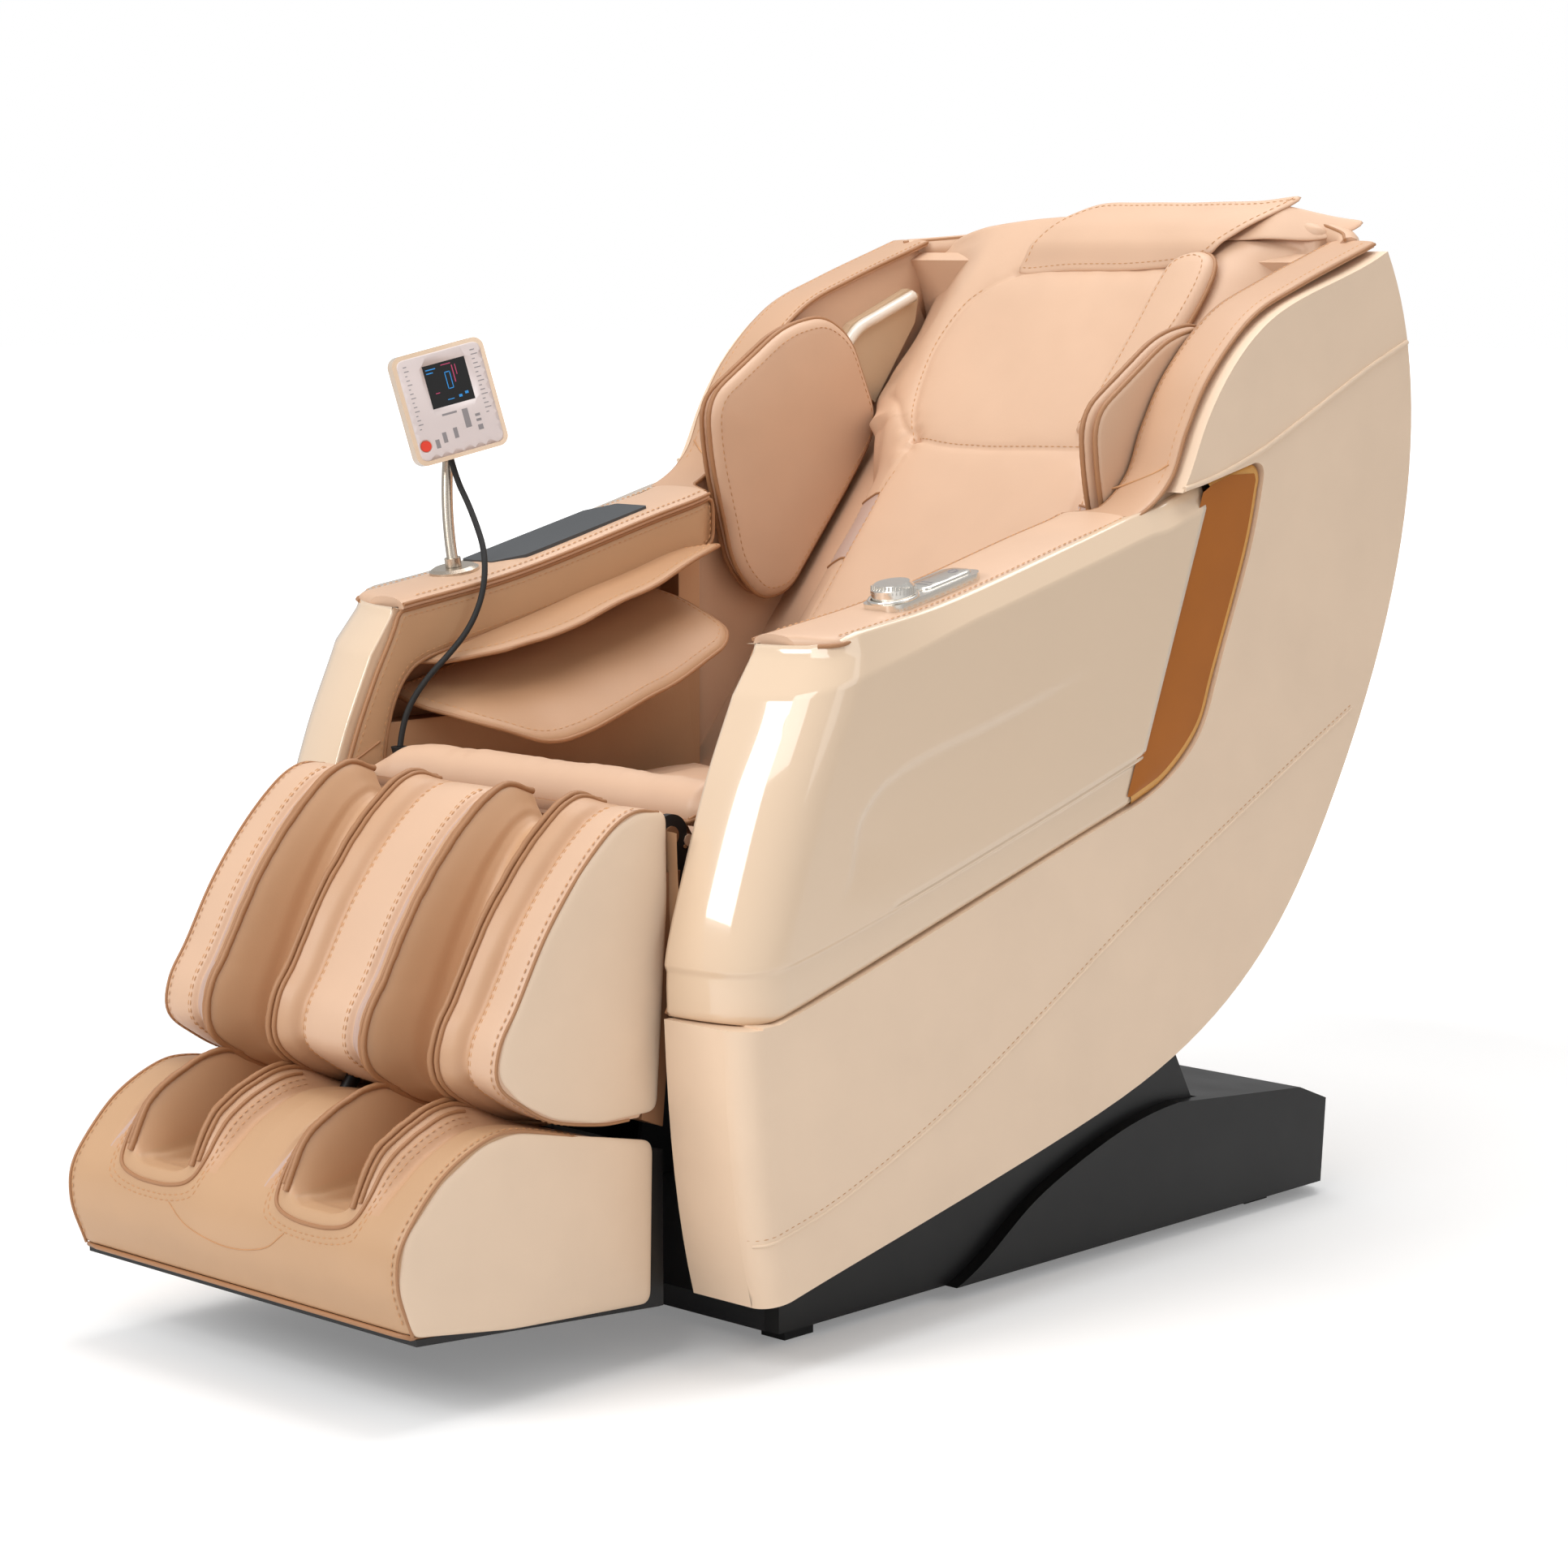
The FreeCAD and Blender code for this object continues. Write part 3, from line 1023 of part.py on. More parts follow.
def rear_cover():
    outline = [[(30, 17), (90, 46), (150, 84), (230, 118), (330, 148), (420, 160)], [(420, 160), (655, 140)],
               [(655, 140), (735, 108)], [(735, 108), (728, 17)], [(728, 17), (30, 17)]]
    body = slab_body("RearCover", outline, "-rear_half", "rear_half")
    inner = "base_half + skirt_thick + 2 * seat_gap"
    cut_slab(body, "CoverMouth", [[(0, 0), (474, 0)], [(474, 0), (474, 200)], [(474, 200), (0, 200)], [(0, 200), (0, 0)]],
             "-(%s)" % inner, inner)
    inside = [(470, 0), (722, 0), (728, 102), (652, 134), (470, 150)]
    narrow = "base_half + 4 * seat_gap"
    cut_slab(body, "CoverInside", ring_of(inside), "-(%s)" % narrow, narrow)
    soften(body, "Chamfer", "CoverCorners", "Size", "28", lambda spot: abs(spot.x) > size["rear_half"] - 0.1 and spot.y > 727)
    window = box("InletWindow", ("-134", "700", "52"), ("-84", "760", "82"))
    switch_window = box("SwitchWindow", ("-66", "700", "55"), ("-42", "760", "79"))
    return publish(cut("RearCoverCut", body, join("RearWindows", [window, switch_window])), "rear_cover")


def base_feet():
    pads = []
    for side, sign in SIDES:
        for place in (-203, 598):
            low, high = span(sign, "base_half - 34", "base_half")
            pads.append(box("Foot%s%d" % (side, place + 300), (low, str(place), "0"), (high, str(place + 44), "foot_high")))
    return publish(group("BaseFeet", pads), "base_feet")


def transport_wheels():
    """Two tyres on one axle, a little above the floor until the chair is tipped back."""
    pieces = [rod("WheelAxle", ("-211", "676", "30"), "422", "wheel_axle")]
    for side, sign in SIDES:
        low, high = span(sign, "191", "203")
        pieces.append(rod("Tyre" + side, (low, "676", "30"), "12", "wheel_radius"))
    return publish(join("TransportWheels", pieces), "transport_wheels")


base_pan()
publish(group("PivotPosts", [pivot_post(side, sign) for side, sign in SIDES]), "pivot_posts")
transport_wheels()
publish(group("SideSkirts", [side_skirt(side, sign) for side, sign in SIDES]), "side_skirts")
rear_cover()
base_feet()

inlet = cut("InletCut", join("InletBlock", [box("InletBody", ("-133.7", "712", "52.3"), ("-84.3", "736", "81.7")),
                                            box("InletFlange", ("-137", "735.5", "49"), ("-81", "738", "85"))]),
            box("InletSocket", ("-123", "720", "56.5"), ("-95", "739", "77.5")))
publish(inlet, "power_inlet")
rocker = slab_body("PowerRocker", [[(716, 57), (736, 57)], [(736, 57), (740, 64)], [(740, 64), (737, 77)],
                                   [(737, 77), (716, 77)], [(716, 77), (716, 57)]], "-65.7", "-42.3")
publish(rocker, "power_switch")
box_low = "foot_high + seat_gap * 2 + base_sheet"
publish(box("ControlBox", ("-240", "480", box_low), ("-40", "640", "112")), "control_box")
pump = join("PumpJoined", [box("PumpBody", ("40", "480", box_low), ("230", "640", "90")),
                           rod("PumpHead", ("70", "560", "88"), "130", "24")])
publish(pump, "air_pump")


# Drives: each is a body and a rod that slides out of it

def drive(name, x, start, finish, slack):
    """Linear drive in a plane of its own, from its pivot to the far eye at rest."""
    start = V(x, *start)
    finish = V(x, *finish)
    along = (finish - start).normalize()
    length = (finish - start).Length
    pin = size["drive_pin"]
    barrel = Part.makeCylinder(19, length - 78, start + along * 20, along)
    motor = Part.makeCylinder(17, 60, start + along * 44, V(1, 0, 0))
    eye = Part.makeCylinder(14, 16, start - V(8, 0, 0), V(1, 0, 0))
    neck = Part.makeCylinder(8, 24, start, along)
    bore = Part.makeCylinder(pin + size["fit"], 24, start - V(12, 0, 0), V(1, 0, 0))
    hollow = Part.makeCylinder(10.4, length - 80, start + along * 26, along)
    publish(feature(name + "Body", barrel.fuse([eye, neck, motor]).cut(hollow).cut(bore)), name + "_body")
    slim = Part.makeCylinder(10, length - 30 - pin - slack, start + along * 28, along)
    far_eye = Part.makeCylinder(pin + slack + 8, 12, finish - V(6, 0, 0), V(1, 0, 0))
    far_bore = Part.makeCylinder(pin + slack, 12, finish - V(6, 0, 0), V(1, 0, 0))
    publish(feature(name + "Rod", slim.fuse(far_eye).cut(far_bore)), name + "_rod")


drive("recline_drive", 60, DRIVE_FOOT, DRIVE_HEAD, 3.0)
drive("leg_drive", -60, LEG_FOOT, LEG_HEAD, 8.5)
doc.recompute()

bad = [thing.Name for thing in doc.Objects if "Invalid" in thing.State or "Error" in thing.State]
if bad:
    raise RuntimeError("objects that did not build: " + ", ".join(bad))
os.makedirs("parts", exist_ok=True)
for thing in parts:
    if thing.Shape.isNull() or not thing.Shape.isValid():
        raise RuntimeError("bad shape: " + thing.Label)
    thing.Shape.exportStep("parts/" + thing.Label + ".step")
box_all = Part.makeCompound([thing.Shape for thing in parts]).BoundBox
print("pieces", len(parts), "box", [round(value, 1) for value in
      (box_all.XMin, box_all.XMax, box_all.YMin, box_all.YMax, box_all.ZMin, box_all.ZMax)])
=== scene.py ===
"""Massage chair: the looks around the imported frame, laid out as a Blender add-on and run as a script."""

import math

import bmesh
import bpy
from bpy.props import FloatProperty, StringProperty
import numpy
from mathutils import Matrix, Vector, geometry, noise
from mathutils.bvhtree import BVHTree


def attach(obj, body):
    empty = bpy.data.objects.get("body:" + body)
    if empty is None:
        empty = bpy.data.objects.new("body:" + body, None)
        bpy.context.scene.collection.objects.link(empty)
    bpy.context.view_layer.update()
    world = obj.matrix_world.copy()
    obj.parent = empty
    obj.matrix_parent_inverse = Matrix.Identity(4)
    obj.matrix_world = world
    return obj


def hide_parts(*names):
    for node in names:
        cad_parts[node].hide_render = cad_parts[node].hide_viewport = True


bl_info = {
    "name": "Massage chair",
    "version": (1, 0, 0),
    "blender": (4, 5, 0),
    "location": "3D Viewport > Sidebar > Chair",
    "description": "Builds the shells, upholstery, fittings and stage of a massage chair around its frame",
    "category": "Object",
}

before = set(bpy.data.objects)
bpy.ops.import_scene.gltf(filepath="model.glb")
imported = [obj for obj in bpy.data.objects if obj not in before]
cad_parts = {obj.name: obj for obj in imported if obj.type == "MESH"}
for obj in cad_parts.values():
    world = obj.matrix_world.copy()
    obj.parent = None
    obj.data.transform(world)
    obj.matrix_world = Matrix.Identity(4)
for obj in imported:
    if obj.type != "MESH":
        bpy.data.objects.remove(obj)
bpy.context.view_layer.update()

MM = 0.001
DEPTH_SHIFT = -28.0


def spot(x, y, z):
    """A point of the side drawings, in millimetres, in the scene's metres."""
    return Vector((x, y + DEPTH_SHIFT, z)) * MM


# Colours and sizes that a user may change

class ChairFinish(bpy.types.PropertyGroup):
    """Colours of the chair's surfaces, as sRGB hex values"""

    # partly painted sheen: the tan is the leather's own colour, made paler and less saturated to stand in for
    # the sheen on lit faces
    tan: StringProperty(name="Tan leather", description="Outer face of the upholstery", default="#D6B194")
    # painted shade: a darker copy of the tan for the trough floors and the wall round the arm tunnel
    tan_inner_shade: StringProperty(name="Inner leather", description="Leather in the troughs", default="#C59A75")
    cream: StringProperty(name="Cream leather", description="Leather on the side shells", default="#E9CEB3")
    champagne: StringProperty(name="Champagne cover", description="Glossy arm covers", default="#E3C8AB")
    amber: StringProperty(name="Amber panel", description="Panels behind the arm covers", default="#A85E06")
    piping: StringProperty(name="Piping", description="Leather piping along the seams", default="#A87852")
    thread: StringProperty(name="Thread", description="Seam thread", default="#C29064")
    metal: StringProperty(name="Satin metal", description="Stand, plate and knob", default="#CFC3B4")
    black: StringProperty(name="Base plastic", description="Covers of the base", default="#0B0B0C")


class ChairSizes(bpy.types.PropertyGroup):
    """Sizes of the stitches and the cord, in metres"""

    stitch: FloatProperty(name="Stitch", description="Length of one stitch", default=0.0060, unit="LENGTH")
    stitch_gap: FloatProperty(name="Stitch gap", description="Space between stitches", default=0.0028,
                              unit="LENGTH")
    cord: FloatProperty(name="Cord", description="Diameter of the tablet cord", default=0.007, unit="LENGTH")


def finish():
    """The colours as the user has set them."""
    return bpy.context.scene.chair_finish


def sizes():
    """The sizes as the user has set them."""
    return bpy.context.scene.chair_sizes


# Materials

def linear(text):
    """Linear colour from an sRGB hex value."""
    channels = [int(text[index:index + 2], 16) / 255 for index in (1, 3, 5)]
    return tuple(c / 12.92 if c <= 0.04045 else ((c + 0.055) / 1.055) ** 2.4 for c in channels) + (1.0,)


def add(tree, kind, settings=None, **inputs):
    """Adds a node, with its settings and with values or links on its sockets."""
    made = tree.nodes.new(kind)
    for key, value in (settings or {}).items():
        setattr(made, key, value)
    for key, value in inputs.items():
        socket = made.inputs[key.replace("_", " ")] if not key.startswith("in") else made.inputs[int(key[2:])]
        if isinstance(value, bpy.types.NodeSocket):
            tree.links.new(value, socket)
        else:
            socket.default_value = value
    return made


def empty_tree(owner):
    """Empty node tree of a material or world."""
    owner.use_nodes = True
    owner.node_tree.nodes.clear()
    return owner.node_tree


def surface(name, **inputs):
    """A material with one shader, and the tree to add the rest to."""
    material = bpy.data.materials.new(name)
    tree = empty_tree(material)
    shader = add(tree, "ShaderNodeBsdfPrincipled", **inputs)
    output = add(tree, "ShaderNodeOutputMaterial")
    tree.links.new(shader.outputs[0], output.inputs[0])
    return material, tree, shader


def place(tree):
    """Places on the object, for textures to follow."""
    return add(tree, "ShaderNodeTexCoord").outputs["Object"]


def cloud(tree, where, scale, detail):
    """Noise as a factor from 0 to 1."""
    return add(tree, "ShaderNodeTexNoise", Vector=where, Scale=scale, Detail=detail).outputs["Fac"]


def tint(tree, shader, color, dark, light, factor):
    """Lets the colour wander between a darker and a lighter tone of itself."""
    mix = add(tree, "ShaderNodeMix", {"data_type": "RGBA"}, in0=factor)
    for socket, tone in ((6, dark), (7, light)):
        mix.inputs[socket].default_value = tuple(min(c * tone, 1.0) for c in linear(color)[:3]) + (1.0,)
    tree.links.new(mix.outputs[2], shader.inputs["Base Color"])


def emboss(tree, shader, height, strength, distance, **inputs):
    """Relief of the surface."""
    relief = add(tree, "ShaderNodeBump", Strength=strength, Distance=distance, Height=height, **inputs)
    tree.links.new(relief.outputs[0], shader.inputs["Normal"])


def dull(tree, shader, factor, low, high):
    """Lets the roughness wander between two values."""
    rough = add(tree, "ShaderNodeMapRange", Value=factor, To_Min=low, To_Max=high)
    tree.links.new(rough.outputs[0], shader.inputs["Roughness"])


def coated_leather(name, color, roughness=0.46, bump=0.12):
    """Polyurethane-coated leather, embossed: fine pebble grain, soft even sheen and faint cloudiness."""
    material, tree, shader = surface(name, Roughness=roughness, IOR=1.5, Coat_Weight=0.04,
                                     Coat_Roughness=0.35)
    where = place(tree)
    tint(tree, shader, color, 0.93, 1.05, cloud(tree, where, 9.0, 3.0))
    # The real grain is under a millimetre and is drawn at about two, so that it shows
    grain = add(tree, "ShaderNodeTexVoronoi", {"feature": "SMOOTH_F1"}, Vector=where, Scale=480.0,
                Randomness=1.0)
    waves = cloud(tree, where, 26.0, 2.0)
    soft = add(tree, "ShaderNodeBump", Strength=0.10, Distance=0.004, Height=waves)
    emboss(tree, shader, grain.outputs["Distance"], bump, 0.0004, Normal=soft.outputs[0])
    dull(tree, shader, waves, roughness - 0.05, roughness + 0.06)
    return material


def lacquered_abs(name, color):
    """Moulded ABS under clear lacquer: deep gloss with the faint ripple of the mould."""
    material, tree, shader = surface(name, Roughness=0.12, IOR=1.5, Coat_Weight=1.0, Coat_Roughness=0.02)
    ripple = cloud(tree, place(tree), 5.0, 1.0)
    tint(tree, shader, color, 0.985, 1.01, ripple)
    emboss(tree, shader, ripple, 0.05, 0.002)
    return material


def moulded_plastic(name, color, roughness=0.5, grit=900.0, bump=0.15):
    """Moulded ABS with a spark-eroded texture: even satin face with a fine grit."""
    material, tree, shader = surface(name, Roughness=roughness, IOR=1.46)
    where = place(tree)
    clouds = cloud(tree, where, 14.0, 2.0)
    tint(tree, shader, color, 0.9, 1.12, clouds)
    dull(tree, shader, clouds, roughness - 0.06, roughness + 0.06)
    emboss(tree, shader, cloud(tree, where, grit, 2.0), bump, 0.0003)
    return material


def brushed_metal(name, color, roughness=0.28):
    """Anodised aluminium, finely brushed: soft metallic face with hairlines."""
    material, tree, shader = surface(name, Metallic=1.0, Roughness=roughness)
    drawn_out = add(tree, "ShaderNodeMapping", Vector=place(tree), Scale=(40.0, 1400.0, 1400.0))
    lines = cloud(tree, drawn_out.outputs[0], 1.0, 3.0)
    tint(tree, shader, color, 0.94, 1.03, lines)
    dull(tree, shader, lines, roughness - 0.06, roughness + 0.08)
    return material


def painted_steel(name, color):
    """Powder-coated steel: matt face with a slight orange peel."""
    material, tree, shader = surface(name, Roughness=0.55, IOR=1.5)
    peel = cloud(tree, place(tree), 420.0, 1.0)
    tint(tree, shader, color, 0.85, 1.15, peel)
    emboss(tree, shader, peel, 0.2, 0.0003)
    return material


def soft_rubber(name, color):
    """Moulded rubber: dull black with a dusty variation."""
    material, tree, shader = surface(name, Roughness=0.7, IOR=1.52)
    dust = cloud(tree, place(tree), 60.0, 4.0)
    tint(tree, shader, color, 0.8, 1.3, dust)
    dull(tree, shader, dust, 0.6, 0.8)
    return material


def build_materials():
    """Every finish of the chair, by the name that the pieces use."""
    colors = finish()
    return {
        "tan": coated_leather("tan_coated_leather", colors.tan),
        # painted shade: darker copy of the tan for recessed faces
        "tan_inner_shade": coated_leather("inner_painted_shade_leather", colors.tan_inner_shade),
        "tan_pad": coated_leather("pad_coated_leather", "#C69C7A"),
        "stretch": coated_leather("stretch_fabric", "#BFA294", 0.6, 0.05),
        "cream": coated_leather("cream_coated_leather", colors.cream, 0.5, 0.08),
        "champagne": lacquered_abs("champagne_lacquered_abs", colors.champagne),
        "amber": moulded_plastic("amber_moulded_abs", colors.amber, 0.34, 60.0, 0.02),
        "piping": coated_leather("piping_leather", colors.piping, 0.5),
        "thread": soft_rubber("bonded_thread", colors.thread),
        "metal": brushed_metal("champagne_anodised_aluminium", colors.metal),
        "steel": brushed_metal("ground_steel", "#B9BCC0", 0.3),
        "black": moulded_plastic("black_moulded_abs", colors.black, 0.42),
        "beige": moulded_plastic("beige_moulded_abs", "#CDB293", 0.45),
        "dark_steel": painted_steel("powder_coated_steel", "#1A1A1C"),
        "rubber": soft_rubber("black_rubber", "#161616"),
        # painted shade: darker copy of the tan for the foot rest and the arm bands, which take less light
        "tan_foot_shade": coated_leather("foot_coated_leather", "#C39B76"),
        # painted shade: darker copy of the tan for the air pads inside the arm tunnels
        "tan_flap_shade": coated_leather("arm_pad_coated_leather", "#BC916D"),
        "satin": brushed_metal("satin_aluminium", "#EDE8E0", 0.2),
        # painted shade: darker copy of the tan for the leather strip up the shoulder
        "tan_edge_shade": coated_leather("edge_coated_leather", "#C9A182"),
        "hinge_cover": moulded_plastic("tan_moulded_abs", "#A88262", 0.5),
        # painted shade: dark leather standing in for the shade inside the arm tunnels and in the gaps round
        # the calf rest
        "dark_tan": coated_leather("shaded_coated_leather", "#8E6446"),
        # painted highlight: a lighter amber for the bevel round the accent panel
        "amber_light": moulded_plastic("amber_bevel_abs", "#D39A4E", 0.3, 60.0, 0.02),
        "ivory": lacquered_abs("ivory_lacquered_abs", "#EFE6D8"),
        "faceplate": moulded_plastic("silver_rose_abs", "#D9CDCB", 0.3),
        "mark": moulded_plastic("grey_print", "#8F8A8C", 0.5),
        "blue": moulded_plastic("blue_print", "#2F8FD8", 0.4),
        "rose": moulded_plastic("rose_print", "#B8436A", 0.4),
        "red": moulded_plastic("red_key_plastic", "#E2402A", 0.35),
        "charger": moulded_plastic("charging_pad_plastic", "#45484B", 0.55),
    }


# Objects

def link_object(name, data):
    """Object of its data, linked to the scene."""
    piece = bpy.data.objects.new(name, data)
    bpy.context.scene.collection.objects.link(piece)
    return piece


def settle(piece, body, slot_name, *nodes):
    """Puts a piece on its body and lets it stand for frame nodes."""
    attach(piece, body)
    if nodes:
        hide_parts(*nodes)
    return piece


def settle_trim(trim, name, body="capsule"):
    """Puts piping and stitches on the body of their leather."""
    settle(trim.build(name, ["piping", "thread"]), body, "tan_leather")


# Lines and values

def along(points, count, closed=False):
    """Evenly spaced points of a smooth curve through the given ones."""
    spots = [Vector(point) for point in points]
    dense = []
    last = len(spots) if closed else len(spots) - 1
    for index in range(last):
        a = spots[index - 1] if closed or index else spots[0] * 2 - spots[1]
        b = spots[index]
        c = spots[(index + 1) % len(spots)]
        d = spots[(index + 2) % len(spots)] if closed or index + 2 < len(spots) else spots[-1] * 2 - spots[-2]
        for part in range(12):
            t = part / 12
            dense.append(0.5 * (2 * b + (c - a) * t + (2 * a - 5 * b + 4 * c - d) * t * t
                                + (3 * b - a - 3 * c + d) * t ** 3))
    dense.append(spots[0] if closed else spots[-1])
    return even(dense, count, closed)


def even(dense, count, closed=False):
    """Resamples a polyline to evenly spaced points."""
    reach = [0.0]
    for before, after in zip(dense, dense[1:]):
        reach.append(reach[-1] + (after - before).length)
    steps = count if closed else count - 1
    result = []
    index = 0
    for number in range(count):
        target = reach[-1] * number / steps
        while index < len(dense) - 2 and reach[index + 1] < target:
            index += 1
        span = reach[index + 1] - reach[index]
        result.append(dense[index].lerp(dense[index + 1], (target - reach[index]) / span if span else 0.0))
    return result


def flat(points, count, closed=False):
    """Evenly spaced points of a side drawing."""
    return [Vector((p.x, p.y)) for p in along([(a, b, 0.0) for a, b in points], count, closed)]


def length_of(points):
    """Length of a polyline."""
    return sum((after - before).length for before, after in zip(points, points[1:]))


def headings(path, closed=False):
    """Direction of a line at each of its points."""
    count = len(path)
    result = []
    for index in range(count):
        before = index - 1 if closed else max(index - 1, 0)
        after = (index + 1) % count if closed else min(index + 1, count - 1)
        result.append((path[after] - path[before]).normalized())
    return result


def left_of(path, closed=False):
    """Unit normals on the left-hand side of a flat line."""
    return [Vector((-ahead.y, ahead.x)) for ahead in headings(path, closed)]


def offset(path, distance):
    """Side drawing moved to its left-hand side."""
    return [point + left * distance for point, left in zip(path, left_of(path))]


def area_of(ring):
    """Twice the area of a closed outline, positive where it runs anticlockwise."""
    return sum(a[0] * b[1] - b[0] * a[1] for a, b in zip(ring, ring[1:] + ring[:1]))


def shrink(outline, inset):
    """Closed outline moved inwards."""
    ring = [Vector(p) for p in outline]
    turn = 1 if area_of(ring) > 0 else -1
    return [(point.x + left.x * inset * turn, point.y + left.y * inset * turn)
            for point, left in zip(ring, left_of(ring, closed=True))]


def lookup(path, value, axis=0):
    """The other coordinate of a side drawing where one coordinate has a value."""
    other = 1 - axis
    for before, after in zip(path, path[1:]):
        if before[axis] <= value <= after[axis]:
            part = (value - before[axis]) / max(after[axis] - before[axis], 1e-6)
            return before[other] + (after[other] - before[other]) * part
    return path[0][other] if value < path[0][axis] else path[-1][other]


def drift(x, y, z=0.0):
    """Slow wave between -1 and 1 that is the same in every run."""
    return noise.noise(Vector((x, y, z)))


def ease(value):
    """Smooth step from 0 to 1."""
    value = min(max(value, 0.0), 1.0)
    return value * value * (3 - 2 * value)


def between(stations, x):
    """Smoothly interpolated value of a table of (place, value)."""
    if x <= stations[0][0]:
        return stations[0][1]
    for (low, first), (high, second) in zip(stations, stations[1:]):
        if x <= high:
            return first + (second - first) * ease((x - low) / (high - low))
    return stations[-1][1]


# Shapes: points, faces and finishes of one piece before it becomes an object

class Shape:
    """Points and faces of one piece, each face with the number of its material"""

    def __init__(self):
        self.points = []
        self.faces = []
        self.paint = []

    def grid(self, rows, paint=0, wrap=False, flip=False):
        """Faces between rows of points; wrap joins each row's end to its start."""
        start = len(self.points)
        wide = len(rows[0])
        for row in rows:
            self.points.extend(row)
        for i in range(len(rows) - 1):
            for j in range(wide if wrap else wide - 1):
                k = (j + 1) % wide
                here, there = start + i * wide, start + (i + 1) * wide
                face = [here + j, here + k, there + k, there + j]
                self.faces.append(face[::-1] if flip else face)
                self.paint.append(paint(i, j) if callable(paint) else paint)

    def cap(self, ring, paint=0, flip=False):
        """One face across a ring of points."""
        start = len(self.points)
        self.points.extend(ring)
        face = list(range(start, start + len(ring)))
        self.faces.append(face[::-1] if flip else face)
        self.paint.append(paint)

    def tube(self, path, radius, paint=0, closed=False, pucker=0.0, sides=8):
        """Round cord along a path, with small gathers as on hand-sewn piping."""
        rows = []
        normal = None
        turns = [2 * math.pi * step / sides for step in range(sides)]
        for index, (point, ahead) in enumerate(zip(path, headings(path, closed))):
            if normal is None:
                normal = ahead.orthogonal().normalized()
            normal = (normal - ahead * normal.dot(ahead)).normalized()
            side = ahead.cross(normal)
            size = radius * (1 + pucker * (math.sin(index * 2.3) * 0.6 + math.sin(index * 0.71) * 0.4))
            rows.append([point + (normal * math.cos(turn) + side * math.sin(turn)) * size for turn in turns])
        if closed:
            rows.append(rows[0])
        self.grid(rows, paint, wrap=True)
        if not closed:
            self.cap(rows[0], paint)
            self.cap(rows[-1], paint, flip=True)

    def stitches(self, path, lift, paint=1):
        """Short raised threads along a path; lift points away from the cloth."""
        width, root = 0.0007, 0.0003
        pitch = sizes().stitch + sizes().stitch_gap
        total = length_of(path)
        dense = even(path, max(int(total / (pitch / 8)), 9))
        for index in range(0, len(dense) - 6, 8):
            piece = dense[index:index + 6]
            up = lift(index / len(dense)) if callable(lift) else lift
            ahead = (piece[-1] - piece[0]).normalized()
            side = ahead.cross(up).normalized()
            rows = []
            for number, point in enumerate(piece):
                arch = math.sin(math.pi * (number + 0.35) / 5.7)
                rows.append([point - side * width * arch - up * root, point + up * width * arch * 1.1,
                             point + side * width * arch - up * root])
            self.grid(rows, paint)

    def bar(self, at, a, b, wide, high, lift, paint):
        """A small flat rectangle on a face, from its lower left corner."""
        self.grid([[at(a, b + up, lift), at(a + wide, b + up, lift)] for up in (0, high)], paint)

    def build(self, name, keys):
        """Turns the shape into an object with its materials."""
        mesh_data = bpy.data.meshes.new(name)
        mesh_data.from_pydata([tuple(point) for point in self.points], [], self.faces)
        for polygon, index in zip(mesh_data.polygons, self.paint):
            polygon.material_index = index
        mesh_data.validate()
        for key in keys:
            mesh_data.materials.append(MATERIALS[key])
        mesh_data.shade_smooth()
        return link_object(name, mesh_data)


def subdivide(piece):
    """Rounds a coarse mesh."""
    rounder = piece.modifiers.new("smooth", "SUBSURF")
    rounder.levels = 1
    rounder.render_levels = 1
    return piece


# Puffed panels: any outline, drawn flat, with a rise over it and valleys along its seams

def distance_to(points, line, closed=False):
    """Distance from each point of an array to a polyline."""
    a = numpy.array([(p[0], p[1]) for p in line], dtype=float)
    b = numpy.roll(a, -1, axis=0)
    if not closed:
        a, b = a[:-1], b[:-1]
    along_line = b - a
    lengths = numpy.maximum((along_line ** 2).sum(axis=1), 1e-12)
    best = numpy.full(len(points), 1e9)
    for start, direction, squared in zip(a, along_line, lengths):
        t = numpy.clip(((points - start) @ direction) / squared, 0.0, 1.0)
        away = points - start - t[:, None] * direction
        best = numpy.minimum(best, (away ** 2).sum(axis=1))
    return numpy.sqrt(best)


def inside(points, outline):
    """Which points of an array lie inside a closed outline."""
    result = numpy.zeros(len(points), dtype=bool)
    for (ax, ay), (bx, by) in zip(outline, outline[1:] + outline[:1]):
        if ay == by:
            continue
        crosses = ((points[:, 1] > ay) != (points[:, 1] > by)) & (
            points[:, 0] < (bx - ax) * (points[:, 1] - ay) / (by - ay) + ax)
        result ^= crosses
    return result


